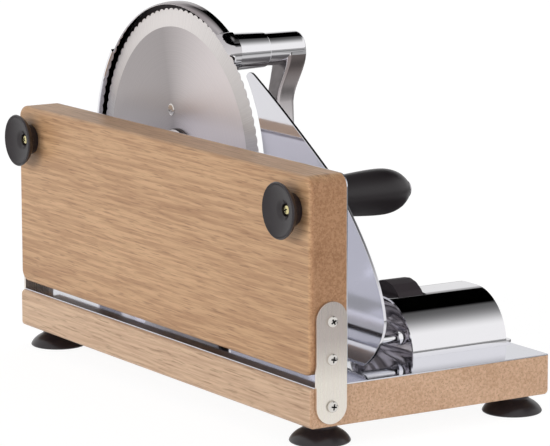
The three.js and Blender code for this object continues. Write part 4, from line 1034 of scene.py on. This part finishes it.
y, depth = arm_place(0)
arm = block("crank_arm_chrome", (crank_x - top_half, y - depth / 2, crank_z - 1),
            (crank_x + top_half, y + depth / 2, crank_z))
round_off(arm, lambda middle, way: abs(way.z) > 0.9, 2.6, 6)
pick(arm, "FACE", lambda middle, normal: normal.z < -0.9)
bpy.ops.transform.translate(value=(0, 0, 0.9 * mm))
last, wide, deep = 0.1, top_half, depth
for drop, half in stations[1:]:
    y, depth = arm_place(drop)
    bpy.ops.mesh.extrude_region_move(TRANSFORM_OT_translate={"value": (
        (drop - last) * lean * mm, (y - arm_place(last)[0]) * mm, (last - drop) * mm)})
    bpy.ops.transform.resize(value=(half / wide, depth / deep, 1), center_override=Vector((
        crank_x + (drop - 0.1) * lean, y, crank_z - drop)) * mm)
    last, wide, deep = drop, half, depth
leave()
face_outwards(arm)
hub = turned("hub", [
    (1, hub_start), (10.0, hub_start), (10.35, hub_start + 0.12), (10.5, hub_start + 0.45),
    (10.5, hub_end - 3.6), (10.4, hub_end - 2.5), (10.0, hub_end - 1.5), (9.2, hub_end - 0.65),
    (8.2, hub_end - 0.16), (7.2, hub_end), (1, hub_end)], (crank_x, 0, crank_z), "Y", 96)
eye = turned("eye", eased([(1, arm_front), (9.5, arm_front), (9.5, arm_back), (1, arm_back)], 1.6, 4),
             (grip_x, 0, grip_z), "Y", 64)
combine(arm, hub, "UNION")
combine(arm, eye, "UNION")
ease(arm, 0.4, 2, 40)
dress(arm, chrome, "chrome", "crank", "crank_arm")
# Painted reflection: the arm's sides are painted darker towards the hub.
paint(arm, arm_chrome_painted_reflection, lambda place, normal: (
    place.z < crank_z and abs(normal.x) > 0.5 and math.hypot(place.x - crank_x, place.z - crank_z) > 10.7))

# %% [markdown]
# ## Grip
# The grip is a turned barrel of black plastic that swells towards its end, with a bright cap over the
# head of the pin that it turns on.

# %% Grip and cap
grip_start, grip_length, grip_radius = 10.1, 88, 15.2
pin_room = 92.0
shares = [(0, 0.7), (0.08, 0.72), (0.3, 0.82), (0.55, 0.95), (0.72, 1), (0.82, 0.962), (0.9, 0.816),
          (0.955, 0.6), (0.985, 0.42)]
barrel = flowing([(grip_radius * wide, grip_start + grip_length * along) for along, wide in shares], 6)
grip_end = barrel[-1][1]
grip = turned("grip_barrel", [
    (4.3, grip_start), (9.9, grip_start), (10.45, grip_start + 0.25),
    *((r, y) for r, y in barrel if y > grip_start + 0.6),
    (6.1, grip_end), (6.1, pin_room), (4.3, pin_room), (4.3, grip_start)], (grip_x, 0, grip_z), "Y", 72)
ease(grip, 0, angle=40)
dress(grip, grip_plastic, "black_plastic", "handle", "handle_grip")
cap = turned("grip_cap", [
    (1, 95), (5.8, 95), (5.8, grip_end + 0.02), (6.2, grip_end + 0.04), (6.15, grip_end + 0.6),
    (5.6, grip_end + 1.3), (4.4, grip_end + 1.9), (2.6, grip_end + 2.3), (0.8, grip_end + 2.4)],
    (grip_x, 0, grip_z), "Y", 48)
ease(cap, 0, angle=50)
dress(cap, plated_steel, "chrome", "handle", "handle_end_cap")

# %% [markdown]
# ## Fence
# The fence is a polished plate. Its left edge runs round the blade, and its long edge falls away in one
# sweep to a rounded toe. The outline is drawn from four curves and an arc, filled and
# extruded, and its edges are rounded so that they shine.

# %% Fence
fence_front, fence_back = depths("fence_plate")
arc_radius, tip_angle, heel_angle = 101.5, 38.2, -55
tip_x, tip_z = arc(bx, bz, arc_radius, tip_angle, tip_angle, 1)[0]
heel_x = arc(bx, bz, arc_radius, heel_angle, heel_angle, 1)[0][0]
bottom = tray_top + 3.1
run, fall = 179.5 - tip_x, tip_z - bottom
sweeps = [[(0.86, 0), (0.95, 0.05), (1.01, 0.15), (0.999, 0.2)],
          [(0.999, 0.2), (0.975, 0.36), (0.78, 0.56), (0.6, 0.705)],
          [(0.6, 0.705), (0.42, 0.815), (0.21, 0.933), (0.1, 0.989)],
          [(0.1, 0.989), (0.06, 1.008), (0.02, 1.04), (0, 1)]]
outline = [(heel_x, bottom)]
for sweep in sweeps:
    bend = [Vector((tip_x + run * along, bottom + fall * up, 0)) for along, up in sweep]
    first = 0 if sweep is sweeps[0] else 1
    outline += [(point.x, point.y) for point in interpolate_bezier(*bend, 15)][first:]
outline += arc(bx, bz, arc_radius, tip_angle, heel_angle, 72)[1:-1]
fence = plate("fence_polished", outline, fence_back - fence_front, fence_front)
ease(fence, 0.3, 2, 40)
dress(fence, fence_steel, "fence_steel", "fence", "fence_plate")

# %% [markdown]
# ## Hood
# The hood is a chromed shell over the thickness adjuster: rounded at its upper left, a quarter round to
# the right, open in front and below. It is drawn as an open line, extruded along the slicer's
# depth, closed at the back, thickened inwards, and slotted for the thumb wheel.

# %% Hood
hood_low, hood_high = extent("adjuster_hood")
wheel_x, wheel_z = 102.0, 58.7
hood_rise, hood_depth, hood_corner = 33.2, 70.4, 28
hood_front, hood_back, hood_top = hood_low.y, hood_low.y + hood_depth, tray_top + hood_rise
corner_x, corner_z = hood_low.x + hood_corner, hood_top - hood_corner
line = ([(hood_low.x, tray_top + 0.01)] + arc(corner_x, corner_z, hood_corner, 180, 90, 28)
        + arc(hood_high.x - hood_rise, tray_top + 0.01, hood_rise - 0.01, 90, 0, 40))
hood = plate("hood_chrome", line, hood_back - hood_front, hood_front)
pick(hood, "FACE", lambda middle, normal: normal.y < -0.9 or normal.z < -0.9)
bpy.ops.mesh.delete(type="FACE")
leave()
alone(hood)
wall = hood.modifiers.new("wall", "SOLIDIFY")
wall.thickness = 1.2 * mm
wall.offset = -1
wall.use_even_offset = True
bpy.ops.object.modifier_apply(modifier=wall.name)
drill(hood, 20.8, 15.6, 36.5, (wheel_x, 0, wheel_z), "Y", 96)
ear = block("ear", (hood_low.x + 5.7, hood_back - 1, tray_top),
            (hood_high.x - 5.7, hood_high.y, tray_top + 1.6))
round_off(ear, lambda middle, way: abs(way.z) > 0.9 and middle.y > hood_back, 3, 5)
combine(hood, ear, "UNION")
ease(hood, 0.3, 3, 40)
dress(hood, chrome, "chrome", "base", "adjuster_hood")

# %% [markdown]
# ## Thumb wheel, rods and bushes
# A wheel with eighteen flats stands out of the hood's slot. The fence's carriage slides on two rods that
# run in ball shaped bushes; one of them shows in front of the hood.

# %% Thumb wheel
wheel_front, wheel_back = depths("thumb_wheel")
wheel_radius, wheel_flats = 19.55, 18
flats = []
for number in range(wheel_flats):
    turn = 2 * math.pi * (number + 0.3) / wheel_flats
    flats += [(wheel_x + wheel_radius * math.cos(turn + step), wheel_z + wheel_radius * math.sin(turn + step))
              for step in (-0.03, 0.03)]
wheel = plate("thumb_wheel_flats", flats, wheel_back - wheel_front, wheel_front)
drill(wheel, 4.3, wheel_front - 2, wheel_back + 2, (wheel_x, 0, wheel_z), "Y", 32)
ease(wheel, 0.35, 2, 25)
dress(wheel, wheel_plastic, "black_plastic", "thumbwheel", "thumb_wheel")

# %% Rods, spindle and bushes
for name, radius, finish in (("guide_rod_left", 2.9, chrome), ("guide_rod_right", 2.9, chrome),
                             ("adjuster_spindle", 4.0, machined)):
    low, high = extent(name)
    middle = (low + high) / 2
    profile = eased([(0.5, low.y), (radius, low.y), (radius, high.y), (0.5, high.y)], 0.5, 2)
    rod = turned(name + "_turned", profile, (middle.x, 0, middle.z), "Y", 40)
    ease(rod, 0, angle=30)
    dress(rod, finish, slot_of_node[name], "fence", name)
ball_radius, bush_bore = 4.6, 3.2
for name in ("guide_bush_1", "guide_bush_2"):
    low, high = extent(name)
    middle, half = (low + high) / 2, (high.y - low.y) / 2
    ball = [(math.sqrt(ball_radius ** 2 - along ** 2), middle.y + along)
            for along in (half * (i / 8 - 1) for i in range(17)) if abs(along) < 3.2]
    profile = [(bush_bore, low.y), (3.6, low.y), *ball, (3.6, high.y), (bush_bore, high.y),
               (bush_bore, low.y)]
    bush = turned(name + "_ball", profile, (middle.x, 0, middle.z), "Y", 48)
    ease(bush, 0, angle=40)
    dress(bush, chrome, "chrome", "base", name)

# %% [markdown]
# ## Pressed and machined pieces
# The adjuster's frame and the fence's carriage keep the shapes of their solids, but real ones have
# broken edges. Each is a copy of the solid with its points merged, its flat faces joined into one, and
# its edges rounded by a third of a millimetre. The frame is then trimmed to the hood's rounded corner.

# %% Softened copies
def softened(name, width, material):
    """A copy of a solid of the frame with broken edges."""
    made = bpy.data.objects.new(name + "_softened", nodes[name].data.copy())
    bpy.context.scene.collection.objects.link(made)
    edit_all(made)
    bpy.ops.mesh.remove_doubles(threshold=1e-6)
    bpy.ops.mesh.dissolve_limited(angle_limit=math.radians(0.5))
    leave()
    ease(made, width, 2, 40)
    dress(made, material, slot_of_node[name], body_of_node[name], name)
    return made


frame_piece = softened("adjuster_frame", 0.3, plated_steel)
rounded = [(x, z - 0.5) for x, z in arc(corner_x, corner_z, hood_corner - 1.6, 180, 90, 28)]
room = plate("hood_room", rounded + [
    (hood_high.x + 5, hood_top - 2.1), (hood_high.x + 5, 30), (hood_low.x + 1.6, 30)], 60, 5)
combine(frame_piece, room, "INTERSECT")
softened("fence_carriage", 0.3, plated_steel)

# %% [markdown]
# ## Studio
# The slicer stands on a white floor in front of a white background. Bright metal shows what is around
# it, so the world has one look for reflections: a white belt round the horizon, a dark gap above it at
# the back that gives chrome its black band, a soft fall of light to the right, and a
# bright panel in front and overhead. Everything else gets an even, plain light.

# %% Floor
bpy.ops.object.select_all(action="DESELECT")
bpy.ops.mesh.primitive_grid_add(x_subdivisions=4, y_subdivisions=4, size=12, location=(0, 0, -0.0002))
floor = settle(bpy.context.object)
floor.name = "floor"
paper, tree, shader, place = surface("white paper sweep", {
    "Base Color": colour("#F2F2F2"), "Roughness": 0.9, "Specular IOR Level": 0.0})
rays = add(tree, "ShaderNodeLightPath").outputs
# Painted shadow: in reflections the floor is painted dark close behind the slicer, as its shadow, and in
# lighter and darker bands further off.
away = vectors(tree, "DISTANCE", place.outputs["Object"], (0, 0.1, 0), "Value")
painted_floor_shadow = add(tree, "ShaderNodeValToRGB", feeds={0: worked(tree, "MULTIPLY", away, 0.5)})
ramp = painted_floor_shadow.color_ramp
ramp.interpolation = "EASE"
ramp.elements[0].color = (0.03, 0.025, 0.03, 1)
ramp.elements[0].position = 0.11
ramp.elements[1].color = (0.3, 0.3, 0.3, 1)
ramp.elements[1].position = 1.0
for where, level in ((0.18, 0.6), (0.29, 0.5), (0.39, 0.14), (0.575, 0.12), (0.75, 0.3)):
    ramp.elements.new(where).color = (level, level, level, 1)
behind = ranged(tree, parted(tree, place.outputs["Object"])["Y"], 0.06, 0.14)
paper_tone = mixed(tree, behind, (0.9, 0.9, 0.9, 1), painted_floor_shadow.outputs[0])
seen_tone = mixed(tree, rays["Is Camera Ray"], paper_tone, (1, 1, 1, 1))
seen = worked(tree, "ADD", rays["Is Camera Ray"], rays["Is Glossy Ray"], True)
glow = add(tree, "ShaderNodeEmission", feeds={"Color": seen_tone, "Strength": 1.12})
blend = add(tree, "ShaderNodeMixShader", feeds={
    0: worked(tree, "MULTIPLY", seen, 0.82), 1: shader.outputs[0], 2: glow.outputs[0]})
output = [node for node in tree.nodes if node.type == "OUTPUT_MATERIAL"][0]
tree.links.new(blend.outputs[0], output.inputs["Surface"])
floor.data.materials.append(paper)
print("floor:", tuple(round(side, 2) for side in floor.dimensions))

# %% World
world = bpy.data.worlds.new("studio")
bpy.context.scene.world = world
world.use_nodes = True
tree = world.node_tree
tree.nodes.clear()
ways = parted(tree, add(tree, "ShaderNodeTexCoord").outputs["Generated"])


def brightness(axis, start, end, low, high):
    """One smooth rise or fall of brightness between two directions."""
    return ranged(tree, ways[axis], start, end, low, high, "SMOOTHSTEP")


belt = brightness("Z", 0.38, 0.46, 0.0, 0.4)
gap = brightness("Z", 0.50, 0.56, 0.82, 0.0)
overhead = brightness("Z", 0.9, 0.99, 0.0, 0.6)
back_left = worked(tree, "ADD", worked(tree, "SUBTRACT", gap, belt, True), overhead)
back_right = brightness("Z", 0.45, 0.88, 0.95, 0.06)
front = brightness("Z", 0.92, 1.0, 0.95, 0.6)
back = between(tree, brightness("X", 0.1, -0.02, 0.0, 1.0), back_right, back_left)
around = between(tree, brightness("Y", 0.44, 0.26, 0.0, 1.0), back, front)
fill = brightness("Y", -0.1, 0.6, 0.27, 0.65)
rays = add(tree, "ShaderNodeLightPath").outputs
shiny = worked(tree, "MAXIMUM", rays["Is Glossy Ray"], rays["Is Transmission Ray"])
strength = between(tree, rays["Is Camera Ray"], between(tree, shiny, fill, around), 1.0)
light = add(tree, "ShaderNodeBackground", feeds={"Color": (1, 1, 1, 1), "Strength": strength})
add(tree, "ShaderNodeOutputWorld", feeds={"Surface": light.outputs[0]})
print("world nodes:", len(tree.nodes))

# %% [markdown]
# ## Lamps
# Three broad lamps give the plain light its direction: the largest from the front and a little to the
# right, one from the right, and a weak one from behind for the rear side. They are left out of
# reflections, where the world's panels take their place. A white card stands upright behind the bread
# table, as a photographer would put one there, and gives the fence something pale to reflect.

# %% Lamps
for name, place, power, spread in (
        ("key", (0.2, -1.0, 0.14), 2.2, 50),
        ("side", (1.0, -0.1, 0.05), 1.5, 60),
        ("back", (-0.6, 1.0, 0.1), 1.1, 60)):
    lamp_data = bpy.data.lights.new(name, "SUN")
    lamp_data.energy = power
    lamp_data.angle = math.radians(spread)
    lamp = bpy.data.objects.new(name, lamp_data)
    bpy.context.scene.collection.objects.link(lamp)
    lamp.rotation_euler = Vector(place).to_track_quat("Z", "Y").to_euler()
    lamp.visible_glossy = False
card_data = bpy.data.lights.new("card", "AREA")
card_data.shape = "RECTANGLE"
card_data.size, card_data.size_y = 0.351, 0.107
card_data.energy = 0.057
card = bpy.data.objects.new("card", card_data)
bpy.context.scene.collection.objects.link(card)
card.location = (0.0005, -0.0619, 0.1075)
card.rotation_euler = (math.radians(90), 0, math.radians(180))
card.visible_camera = False
bpy.context.scene.view_settings.view_transform = "Standard"
print("lamps:", [light.name for light in bpy.data.lights])
